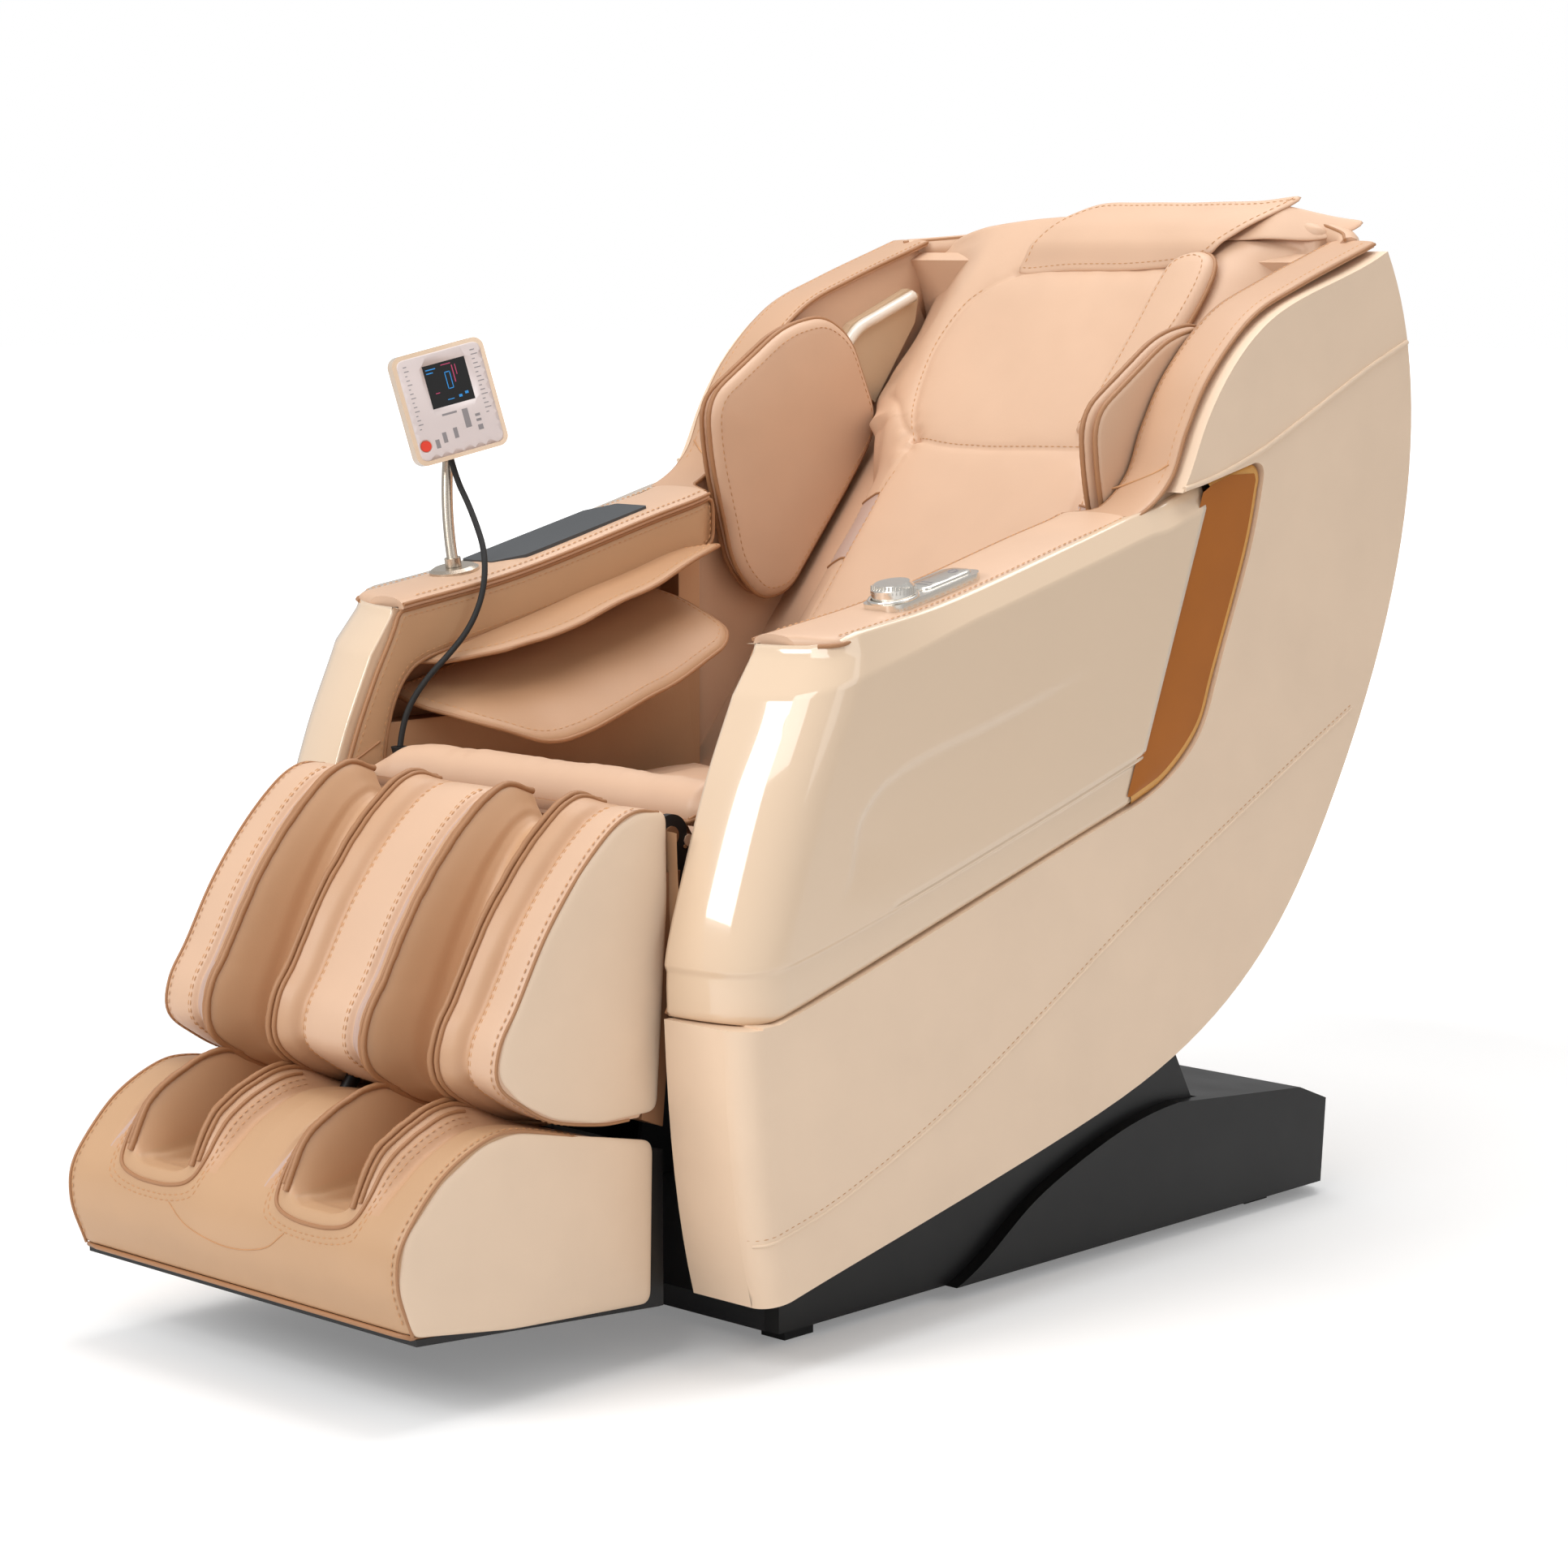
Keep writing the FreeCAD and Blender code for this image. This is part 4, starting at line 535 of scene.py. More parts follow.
class Panel:
    """Flat outline in millimetres with its rise, edge rounding and seams"""

    def __init__(self, outline, rise, edge, crown=0.0, reach=60.0, seams=(), valley=2.0, valley_wide=6.0,
                 wobble=0.0, holes=()):
        self.outline = [(float(p[0]), float(p[1])) for p in outline]
        if area_of(self.outline) < 0:
            self.outline.reverse()
        self.rise = rise
        self.edge = edge
        self.crown = crown
        self.reach = reach
        self.seams = [[(p[0], p[1]) for p in seam] for seam in seams]
        self.valley = valley
        self.valley_wide = valley_wide
        self.wobble = wobble
        self.holes = [[(float(p[0]), float(p[1])) for p in hole] for hole in holes]

    def margin(self, spots):
        """Distance from an array of points to the nearest edge."""
        away = distance_to(spots, self.outline, closed=True)
        for hole in self.holes:
            away = numpy.minimum(away, distance_to(spots, hole, closed=True))
        return away

    def within(self, spots):
        """Which points of an array lie inside the outline and outside its holes."""
        result = inside(spots, self.outline)
        for hole in self.holes:
            result &= ~inside(spots, hole)
        return result

    def height(self, spots):
        """Rise of the panel at an array of points."""
        away = self.margin(spots)
        near = numpy.clip(away / self.edge, 0.0, 1.0)
        level = self.rise * numpy.sqrt(1 - (1 - near) ** 2)
        far = numpy.clip(away / self.reach, 0.0, 1.0)
        level = level + self.crown * numpy.sin(far * math.pi / 2)
        for seam in self.seams:
            gap = distance_to(spots, seam)
            level = level - self.valley * near * (numpy.exp(-(gap / self.valley_wide) ** 2)
                                                  + 0.8 * numpy.exp(-(gap / (self.valley_wide * 4)) ** 2))
        if self.wobble:
            wave = [self.wobble * drift(a * 0.011, b * 0.013, 3.7) for a, b in spots]
            level = level + numpy.array(wave) * near
        return level

    def edge_points(self):
        """Rows of points inside every edge, closest together at the edge."""
        result = []
        for ring, into in [(self.outline, 1)] + [(hole, -1) for hole in self.holes]:
            line = [Vector(p) for p in ring]
            side = into if area_of(line) > 0 else -into
            sides = left_of(line, closed=True)
            for part in (0.04, 0.15, 0.35, 0.65, 1.0):
                moved = [tuple(point + left * side * self.edge * part) for point, left in zip(line, sides)]
                spots = numpy.array(moved)
                result.extend(spots[self.margin(spots) > self.edge * part * 0.93])
        return result

    def seam_points(self):
        """Rows of points on and beside every seam."""
        result = []
        for seam in self.seams:
            line = [Vector(p) for p in seam]
            for point, left in zip(line, left_of(line)):
                for shift in (0.0, -0.7, 0.7, -1.6, 1.6):
                    result.append(tuple(point + left * shift * self.valley_wide))
        return result

    def mesh(self, step):
        """Points and triangles over the outline, closest together along edges and seams."""
        extra = numpy.array(self.edge_points() + self.seam_points())
        extra = extra[self.margin(extra) > self.edge * 0.035]
        low_a, low_b = (min(p[i] for p in self.outline) for i in (0, 1))
        high_a, high_b = (max(p[i] for p in self.outline) for i in (0, 1))
        grid = numpy.array([(a, b) for a in numpy.arange(low_a, high_a, step)
                            for b in numpy.arange(low_b, high_b, step)])
        keep = self.margin(grid) > self.edge + step * 0.4
        for seam in self.seams:
            keep &= distance_to(grid, seam) > self.valley_wide * 1.6 + step * 0.4
        inner = numpy.concatenate([grid[keep], extra])
        spots, borders = [], []
        for ring in [self.outline] + self.holes:
            first, count = len(spots), len(ring)
            spots += ring
            borders += [(first + i, first + (i + 1) % count) for i in range(count)]
        spots += [tuple(p) for p in inner[self.within(inner)]]
        made = geometry.delaunay_2d_cdt([Vector(p) for p in spots], borders, [], 0, 0.01)
        points = numpy.array([(p.x, p.y) for p in made[0]])
        faces = [list(face) for face in made[2]]
        fits = self.within(numpy.array([points[face].mean(axis=0) for face in faces]))
        return points, [face for face, fit in zip(faces, fits) if fit]

    def add(self, shape, place, step=8.0, paint=0, back=None, wall=None, flip=False):
        """Adds the panel; place(a, b, h) gives the point in space. A back is rounded, a wall is straight."""
        spots, triangles = self.mesh(step)
        level = self.height(spots)
        start = len(shape.points)
        shape.points.extend(place(a, b, h) for (a, b), h in zip(spots, level))

        def add_face(face, turn, middle):
            shape.faces.append(face[::-1] if turn else face)
            shape.paint.append(paint(*middle) if callable(paint) else paint)

        def add_side(numbers, turn):
            for face in triangles:
                add_face([numbers[index] for index in face], turn, spots[face].mean(axis=0))

        add_side(list(range(start, start + len(spots))), flip)
        if back is None and wall is None:
            return
        away = self.margin(spots)
        behind = []
        for index, (a, b) in enumerate(spots):
            near = min(away[index] / self.edge, 1.0)
            if back is not None and away[index] < 0.001:
                behind.append(start + index)
                continue
            behind.append(len(shape.points))
            depth = wall if back is None else back * math.sqrt(1 - (1 - near) ** 2)
            shape.points.append(place(a, b, -depth))
        add_side(behind, not flip)
        if wall is not None:
            ring = list(range(len(self.outline)))
            for first, second in zip(ring, ring[1:] + ring[:1]):
                face = [start + first, behind[first], behind[second], start + second]
                add_face(face, flip, self.outline[first])

    def on_top(self, place, line, count):
        """Points of a line drawn just above the finished surface."""
        path = flat(line, count)
        level = self.height(numpy.array([(p.x, p.y) for p in path]))
        return [place(p.x, p.y, h + 0.3) for p, h in zip(path, level)]

    def ring(self, count):
        """Evenly spaced points of the outline."""
        return along([(a, b, 0.0) for a, b in self.outline], count, closed=True)

    def inner_line(self, inset, count):
        """Closed line at a distance inside the outline."""
        line = shrink(self.ring(count), inset)
        return line + line[:1]

    def pipe(self, trim, place, count, h, radius, pucker=0.0):
        """Piping round the outline, at a height over its plane."""
        trim.tube([place(p.x, p.y, h) for p in self.ring(count)], radius, 0, closed=True, pucker=pucker)

    def sew(self, trim, place, count, inset, lift, out):
        """A row of stitches inside the edge."""
        line = self.inner_line(inset, count)
        level = self.height(numpy.array(line))
        trim.stitches([place(a, b, h + lift) for (a, b), h in zip(line, level)], out)


def rounded(corners, radius, steps=7):
    """Outline with its corners rounded."""
    result = []
    count = len(corners)
    for index, corner in enumerate(corners):
        here = Vector(corner)
        into = Vector(corners[index - 1]) - here
        away = Vector(corners[(index + 1) % count]) - here
        reach = min(radius, into.length * 0.46, away.length * 0.46)
        first = here + into.normalized() * reach
        second = here + away.normalized() * reach
        for step in range(steps + 1):
            t = step / steps
            point = first * (1 - t) ** 2 + here * 2 * t * (1 - t) + second * t * t
            result.append((point.x, point.y))
    spread = []
    for index, point in enumerate(result):
        after = result[(index + 1) % len(result)]
        spread.append(point)
        gap = math.dist(point, after)
        for part in range(1, int(gap / 14) + 1):
            t = part / (int(gap / 14) + 1)
            spread.append((point[0] + (after[0] - point[0]) * t, point[1] + (after[1] - point[1]) * t))
    return spread


# Stage

CAMERA_SPOT = spot(3031.77, -3079.63, 1155.0)
CAMERA_AHEAD = Vector((-0.68254, 0.71721, -0.14050))
CAMERA_LENS = 89.33
LAMP_TARGET = Vector((0.0, -0.1, 0.55))
LAMPS = (("key_softbox", (0.9, -3.0, 3.3), 2.2, 1.6, 34.0),
         ("side_softbox", (3.6, 0.2, 2.2), 2.2, 2.0, 14.0),
         ("left_strip", (-0.62, -3.3, 2.25), 1.25, 1.3, 46.0),
         ("top_softbox", (0.0, 0.6, 3.6), 2.6, 2.6, 64.0))


def stage_floor_material():
    """Seamless paper: white, lit by the lamps, and plain white far from the chair."""
    material = bpy.data.materials.new("white_paper")
    tree = empty_tree(material)
    length = add(tree, "ShaderNodeVectorMath", {"operation": "LENGTH"}, in0=place(tree))
    far = add(tree, "ShaderNodeMapRange", Value=length.outputs["Value"], From_Min=1.6, From_Max=3.2,
              To_Min=0.20, To_Max=1.0)
    rays = add(tree, "ShaderNodeLightPath")
    seen = add(tree, "ShaderNodeMath", {"operation": "MULTIPLY"}, in0=far.outputs[0],
               in1=rays.outputs["Is Camera Ray"])
    paper = add(tree, "ShaderNodeBsdfDiffuse", Color=(0.86, 0.86, 0.86, 1.0))
    glow = add(tree, "ShaderNodeEmission", Color=(1.0, 1.0, 1.0, 1.0), Strength=seen.outputs[0])
    both = add(tree, "ShaderNodeAddShader", in0=paper.outputs[0], in1=glow.outputs[0])
    output = add(tree, "ShaderNodeOutputMaterial")
    tree.links.new(both.outputs[0], output.inputs[0])
    return material


def lamp(name, where, size_x, size_y, power):
    """Soft rectangular lamp turned to the chair."""
    light = bpy.data.lights.new(name, "AREA")
    light.shape = "RECTANGLE"
    light.size = size_x
    light.size_y = size_y
    light.energy = power
    holder = link_object(name, light)
    holder.location = where
    holder.rotation_euler = (LAMP_TARGET - Vector(where)).to_track_quat("-Z", "Y").to_euler()


class CHAIR_OT_stage(bpy.types.Operator):
    """Floor, lights and the camera at the photograph's angle"""

    bl_idname = "chair.stage"
    bl_label = "Stage"

    def execute(self, context):
        scene = context.scene
        scene.view_settings.view_transform = "Standard"
        plane = bmesh.new()
        bmesh.ops.create_grid(plane, x_segments=1, y_segments=1, size=30.0)
        paper = bpy.data.meshes.new("floor")
        plane.to_mesh(paper)
        plane.free()
        paper.materials.append(stage_floor_material())
        floor = link_object("floor", paper)
        scene.world = bpy.data.worlds.new("studio")
        tree = empty_tree(scene.world)
        rays = add(tree, "ShaderNodeLightPath")
        either = add(tree, "ShaderNodeMath", {"operation": "MAXIMUM"}, in0=rays.outputs["Is Camera Ray"],
                     in1=rays.outputs["Is Transmission Ray"])
        strength = add(tree, "ShaderNodeMapRange", Value=either.outputs[0], To_Min=0.52, To_Max=1.0)
        sky = add(tree, "ShaderNodeBackground", Color=(1.0, 1.0, 1.0, 1.0), Strength=strength.outputs[0])
        output = add(tree, "ShaderNodeOutputWorld")
        tree.links.new(sky.outputs[0], output.inputs[0])
        for row in LAMPS:
            lamp(*row)
        camera_data = bpy.data.cameras.new("camera")
        camera_data.sensor_width = 36.0
        camera_data.lens = CAMERA_LENS
        camera = link_object("camera", camera_data)
        camera.location = CAMERA_SPOT
        camera.rotation_euler = CAMERA_AHEAD.to_track_quat("-Z", "Y").to_euler()
        scene.camera = camera
        return {"FINISHED"}


# Tablet cord

CORD_POINTS = [(-335, -97, 896), (-331, -92, 872), (-318, -88, 848), (-298, -92, 822), (-276, -101, 797),
               (-262, -112, 768), (-257, -124, 738), (-256, -144, 708), (-257, -172, 683), (-259, -202, 660),
               (-261, -226, 634), (-262, -239, 607), (-262, -243, 584)]


class CHAIR_OT_tablet_cord(bpy.types.Operator):
    """Cord from the tablet down the inside of the arm"""

    bl_idname = "chair.tablet_cord"
    bl_label = "Tablet cord"

    def execute(self, context):
        line = bpy.data.curves.new("tablet_cord_line", "CURVE")
        line.dimensions = "3D"
        spline = line.splines.new("NURBS")
        spline.points.add(len(CORD_POINTS) - 1)
        for point, where in zip(spline.points, CORD_POINTS):
            point.co = tuple(spot(*where)) + (1.0,)
        spline.order_u = 3
        spline.use_endpoint_u = True
        spline.resolution_u = 12
        line.bevel_depth = sizes().cord / 2
        line.bevel_resolution = 4
        line.use_fill_caps = True
        line.materials.append(MATERIALS["rubber"])
        cord = link_object("tablet_cord_line", line)
        settle(cord, "capsule", "cord_black", "tablet_cord")
        tuple(spot(*CORD_POINTS[0]))
        return {"FINISHED"}


# Calf rest: troughs with raised piped pads, light strips between them and padded side panels

HALF = 262.0
LEG_STEPS = 84
COLUMN_STEPS = (0, 12, 20, 26, 31, 35, 38, 41, 44, 47, 50, 53, 57, 62, 68, 74, 79, 82, 84, 86, 88, 90, 93,
                98, 106, 116, 124)
TROUGH_MIDDLE = 126.5
TROUGHS = (-TROUGH_MIDDLE, TROUGH_MIDDLE)
CALF_FACE = [(-380, 262), (-440, 268), (-500, 281), (-541, 303), (-573, 330), (-570, 366), (-547, 402),
             (-509, 466), (-463, 523), (-417, 564), (-384, 578), (-353, 577)]
CALF_FLOOR = [(-380, 262), (-440, 268), (-490, 279), (-505, 296), (-503, 330), (-485, 385), (-458, 446),
              (-428, 500), (-400, 535), (-380, 548), (-366, 548), (-354, 540)]
CALF_BACK = [(-353, 560), (-360, 480), (-368, 380), (-377, 290)]
CALF_LIFT = [(0, 0.0), (40, 2.0), (50, 11.0), (58, 10.0), (72, 5.0), (84, -5.0), (88, -5.0), (93, 1.0),
             (110, 2.5), (126.5, 3.0)]
FOOT_FACE = [(-690, 98), (-708, 150), (-700, 196), (-650, 246), (-597, 273), (-554, 278), (-489, 266),
             (-381, 233)]
FOOT_FLOOR = [(-690, 98), (-708, 150), (-700, 194), (-680, 203), (-650, 196), (-560, 187), (-420, 178),
              (-383, 176)]
FOOT_BACK = [(-381, 230), (-381, 150), (-381, 80), (-450, 83), (-560, 89), (-660, 96)]
FOOT_LIFT = [(0, 0.0), (40, 2.0), (50, 20.0), (58, 18.0), (70, 9.0), (83, -4.0), (88, -4.0), (93, 1.0),
             (110, 2.0), (126.5, 3.0)]


def unit_columns():
    """Distances across a lower leg unit, closest together at seams and crests."""
    result = {0.0, HALF, -HALF}
    for middle in TROUGHS:
        for step in COLUMN_STEPS:
            result.update(x for x in (middle - step, middle + step) if abs(x) <= HALF)
    return sorted(result)


def from_middle(x):
    """Distance of a column from the middle of its trough, and the way back to that middle."""
    middle = TROUGH_MIDDLE if x > 0 else -TROUGH_MIDDLE
    return abs(x - middle), 1 if x < middle else -1


class LegUnit:
    """Side profiles of a lower leg unit, blended across its width"""

    def __init__(self, face, floor, lift, swell, opening=0.0, steep=40.0):
        self.face = flat(face, LEG_STEPS)
        self.floor = flat(floor, LEG_STEPS)
        self.normals = left_of(self.face)
        self.lift = lift
        self.swell = swell
        self.opening = opening
        self.steep = steep

    def value(self, values, t):
        """One of the profile's values at a place from 0 to 1 along it."""
        place = min(max(t, 0.0), 1.0) * (LEG_STEPS - 1)
        index = min(int(place), LEG_STEPS - 2)
        return values[index].lerp(values[index + 1], place - index)

    def raised(self, t):
        """How much of the pads' height is there at a place along the profile."""
        first, full, falling, last = self.swell
        return ease((t - first) / (full - first)) * ease((last - t) / (last - falling))

    def at(self, x, t, extra=0.0):
        """Point of the upholstery at a distance across and a place along the profile."""
        gap, inward = from_middle(x)
        steep = self.steep
        depth = 1 - between([(0, 0.0), (steep - 18, 0.01), (steep - 6, 0.22), (steep, 0.55), (49, 1.0)], gap)
        if self.opening:
            corner = 0.05 * (gap / 50) ** 4
            depth *= ease((t - self.opening - corner) / 0.05)
        rise = between(self.lift, gap) * self.raised(t)
        if gap < 92:
            rise += 1.0 * drift(x * 0.04, t * 26, 1.3) * self.raised(t)
        normal = self.value(self.normals, t)
        tuck = 2.5 * (1 - ease((HALF - abs(x)) / 5.0))
        top = self.value(self.face, t) + normal * (rise + extra - tuck)
        place_2d = top.lerp(self.value(self.floor, t) + normal * extra, depth)
        bow = 6.0 * math.sin(math.pi * min(depth, 1.0)) * self.raised(t) if gap < 52 else 0.0
        return spot(x + inward * bow, place_2d.x, place_2d.y)

    def line(self, x, extra=0.0, low=0.0, high=1.0):
        """Line along the profile at a distance across, between two places."""
        return [self.at(x, low + (high - low) * step / (LEG_STEPS - 1), extra) for step in range(LEG_STEPS)]

    def lift_at(self, t):
        """Direction out of the profile."""
        normal = self.value(self.normals, t)
        return Vector((0.0, normal.x, normal.y))


def leg_paint(x, t, low, high):
    """Material number of a place: 0 tan, 1 inner leather darkened as painted shade, 2 stretch fabric, 3 pad
    leather.
    """
    gap, inward = from_middle(x)
    if gap < 50:
        return 1
    if gap > 87:
        return 0
    spindle = 1 - ease(abs(t - (low + high) / 2) / ((high - low) / 2))
    return 2 if inward > 0 and gap > 86 - spindle * 30 else 3


def leg_body(unit, closing, name, keys, low, high, sole=False):
    """The closed upholstery of a lower leg unit."""
    columns = unit_columns()
    shape = Shape()
    rows = [unit.line(x) + [spot(x, a, b) for a, b in closing] for x in columns]
    last = LEG_STEPS - 1

    def paint(i, j):
        middle = (columns[i] + columns[i + 1]) / 2
        if j >= last:
            return 1
        number = leg_paint(middle, j / last, low, high)
        past_opening = j / last - unit.opening
        if sole and number == 1 and (from_middle(middle)[0] < unit.steep - 4 or past_opening < 0.03):
            return 0
        if sole and number > 1 and past_opening < 0.04:
            return 0
        return number

    shape.grid(rows, paint, wrap=True, flip=True)
    shape.cap(rows[0], 0)
    shape.cap(rows[-1], 0, flip=True)
    return subdivide(shape.build(name, keys))


def leg_trim(unit, starts, end, hem, sewn):
    """Piping of a lower leg unit along its pads and side edges, and stitches beside the side edges."""
    trim = Shape()
    for middle in TROUGHS:
        for side in (-1, 1):
            trim.tube(unit.line(middle + side * 51, 1.4, starts[0], end), 0.0034, pucker=0.10)
            trim.tube(unit.line(middle + side * 58, 0.6, starts[1], end), 0.0026, pucker=0.10)
    for side in (-1, 1):
        trim.stitches(unit.line(side * (HALF - 7), 0.2, *sewn), unit.lift_at)
        trim.tube(unit.line(side * (HALF - 0.5), 0.6, hem), 0.0018)
    return trim


class CHAIR_OT_calf_rest(bpy.types.Operator):
    """Calf troughs with piped pads, strips and stitches"""

    bl_idname = "chair.calf_rest"
    bl_label = "Calf rest"

    def execute(self, context):
        unit = LegUnit(CALF_FACE, CALF_FLOOR, CALF_LIFT, (0.0, 0.10, 0.93, 1.0))
        # painted shade: the trough floors and the unit's closing take the darker inner leather
        keys = ["tan", "tan_inner_shade", "stretch", "tan_pad"]
        body = leg_body(unit, CALF_BACK, "calf_upholstery", keys, -0.25, 0.72)
        settle(body, "calf_rest", "tan_leather", "calf_pads", "calf_trough_pads")
        trim = leg_trim(unit, (0.05, 0.05), 1.0, 0.03, (0.07, 0.96))
        for middle in TROUGHS:
            for gap in (-97.0, -94.0, 94.0, 97.0):
                trim.stitches(unit.line(middle + gap, 0.2, 0.07, 0.96), unit.lift_at)
        settle_trim(trim, "calf_piping", "calf_rest")
        return {"FINISHED"}


def well_rim(unit, middle, half_wide, low, extra):
    """Line round the front of a foot well, from its left side to its right side."""
    places = [(-half_wide, t) for t in (0.60, 0.50, 0.42, 0.35, 0.30)]
    places += [(-half_wide * share, low + rise)
               for share, rise in ((0.93, 0.035), (0.76, 0.01), (0.4, -0.003), (0, -0.006))]
    places += [(-a, t) for a, t in places[-2::-1]]
    return [unit.at(middle + p.x, p.y / 100, extra) for p in flat([(a, t * 100) for a, t in places], 90)]


FOOT_ARC = [(-92, 17.5), (-60, 13.0), (0, 10.8), (60, 13.0), (92, 17.5)]
FOOT_HEM = [(262, -384, 78), (262, -560, 88.5), (258, -688, 97), (240, -691, 97.5)]


class CHAIR_OT_foot_rest(bpy.types.Operator):
    """Foot rest with two wells, their pads, soles, rims and stitches"""

    bl_idname = "chair.foot_rest"
    bl_label = "Foot rest"

    def execute(self, context):
        unit = LegUnit(FOOT_FACE, FOOT_FLOOR, FOOT_LIFT, (0.24, 0.40, 0.56, 0.78), 0.225, 44.0)
        # painted shade: the foot rest's outer leather is the darker copy of the tan
        keys = ["tan_foot_shade", "tan_inner_shade", "stretch", "tan_pad"]
        body = leg_body(unit, FOOT_BACK, "foot_upholstery", keys, 0.26, 0.66, True)
        settle(body, "foot_rest", "tan_leather", "foot_cover", "foot_soles")
        trim = leg_trim(unit, (0.265, 0.28), 0.80, 0.0, (0.03, 0.9))
        forward = Vector((0.0, -1.0, 0.4)).normalized()
        for middle in TROUGHS:
            trim.tube(well_rim(unit, middle, 66, 0.215, 0.6), 0.0021)
            trim.stitches(well_rim(unit, middle, 73, 0.193, 0.3), forward)
            trim.stitches(well_rim(unit, middle, 77, 0.181, 0.3), forward)
        trim.tube([unit.at(p.x, p.y / 100, 0.1) for p in flat(FOOT_ARC, 40)], 0.0007, 1)
        hem = [spot(-x, y, z) for x, y, z in FOOT_HEM] + [spot(*point) for point in FOOT_HEM[::-1]]
        trim.tube(hem, 0.0026)
        settle_trim(trim, "foot_piping", "foot_rest")
        return {"FINISHED"}


CALF_SIDE = [(-575, 336), (-570, 366), (-547, 404), (-509, 468), (-463, 526), (-417, 565), (-384, 578),
             (-343, 576), (-342, 480), (-358, 268), (-440, 268), (-500, 282), (-545, 305)]
FOOT_SIDE = [(-690, 98), (-707, 150), (-698, 196), (-650, 244), (-597, 272), (-554, 278), (-489, 265),
             (-364, 238), (-368, 68), (-560, 80)]


def hinge_cover(shape, sign):
    """Moulded cover beside the calf rest's hinge, slightly bowed."""
    rows = []
    for step in range(25):
        high = 158 * step / 24
        rows.append([])
        for part in (0, 0.25, 0.5, 0.75, 1):
            bow = 4 * math.sin(math.pi * part) - 0.04 * high + 1.5 * drift(part * 2, (396 + high) * 0.02, 4)
            rows[-1].append(spot(sign * (250 + 29 * part), -338 + bow, 396 + high))
    shape.grid(rows, flip=sign > 0)


class CHAIR_OT_leg_sides(bpy.types.Operator):
    """Padded cream panels on the sides of the calf and foot rests, and the covers beside the calf hinge"""

    bl_idname = "chair.leg_sides"
    bl_label = "Leg side panels"

    def execute(self, context):
        for name, outline in (("calf", CALF_SIDE), ("foot", FOOT_SIDE)):
            shape = Shape()
            for sign in (-1, 1):
                panel = Panel(rounded(outline, 14), 3.2, 9, 3.0, 70)
                panel.add(shape, lambda a, b, h: spot(sign * (HALF - 0.6 + h), a, b), 9.0, back=0.0)
            piece = shape.build(name + "_side_cushions", ["cream"])
            settle(piece, name + "_rest", "cream_leather", name + "_side_panels")
        covers = Shape()
        for sign in (-1, 1):
            hinge_cover(covers, sign)
        settle(covers.build("hinge_covers", ["hinge_cover"]), "capsule", "beige_plastic")
        return {"FINISHED"}


# Side drawings shared with the frame, as depth and height in millimetres

TOP = [(-240, 744), (-51, 773), (161, 823), (270, 850), (325, 886), (353, 940), (395, 1000), (471, 1063),
       (560, 1098), (705, 1144)]
FRONT = [(-366, 371), (-364, 430), (-340, 510), (-305, 606), (-268, 685), (-247, 733)]
COVER_LOW = [(-366, 371), (-316, 372), (-220, 397), (-19, 455), (246, 531)]
ACCENT_REAR = [(249, 532), (310, 556), (368, 605), (396, 667), (452, 799), (474, 879)]
ACCENT_TOP = [(472.5, 886), (467, 893), (457, 895.5), (420, 887.5), (380, 879)]
SIDES = (("left", 1), ("right", -1))
TOP_LINE = flat(TOP, 160)
FRONT_LINE = flat(FRONT, 60)
SHELL_OUTER = 395
EDGE_OUTER = 378


# Leather edges and arm tops

def edge_at(edge, y):
    """Distance from the middle plane, given as a number or as a function of depth."""
    return edge(y) if callable(edge) else edge


def strip(shape, path, inner, outer, sign, soft, crown, paint=0):
    """Padded strip along a side drawing, between an inner and an outer edge."""
    low = -11.6
    normals = [Vector((-(b - a).y, (b - a).x)).normalized() for a, b in zip(path, path[1:])]
    normals.append(normals[-1])
    rows = []
    for point, normal in zip(path, normals):
        x0 = edge_at(inner, point.x)
        wide = edge_at(outer, point.x) - x0
        half = [(0, low), (0, -soft), (soft * 0.25, -soft * 0.3), (soft, 0), (wide * 0.22, crown * 0.7)]
        section = half + [(wide * 0.5, crown)] + [(wide - a, h) for a, h in half[::-1]]
        rows.append([spot(sign * (x0 + a), point.x + normal.x * h, point.y + normal.y * h)
                     for a, h in section])
    shape.grid(rows, paint, wrap=True, flip=sign < 0)
    shape.cap(rows[0], paint, flip=sign > 0)
    shape.cap(rows[-1], paint, flip=sign < 0)


def strip_line(path, edge, sign, lift):
    """Line along the top of a strip."""
    return [spot(sign * edge_at(edge, point.x), moved.x, moved.y)
            for point, moved in zip(path, offset(path, lift))]


def shoulder_inner(y):
    """Inner edge of the leather that runs up the shoulder."""
    return min(272 + (y - 258) * 2.6, 316)


def shoulder_lift(t):
    """Direction out of the leather along the shoulder."""
    return Vector((0, -0.7 + 0.5 * t, 0.6 + 0.3 * t))


def arm_nose(y):
    """Outer edge of the arm top, which follows the top of the arm cover round its corner."""
    if y > -196:
        return 376.0
    part = min((-196 - y) / 34, 0.9999)
    return 290 + 86.0 * math.sqrt(1 - part ** 2.6)


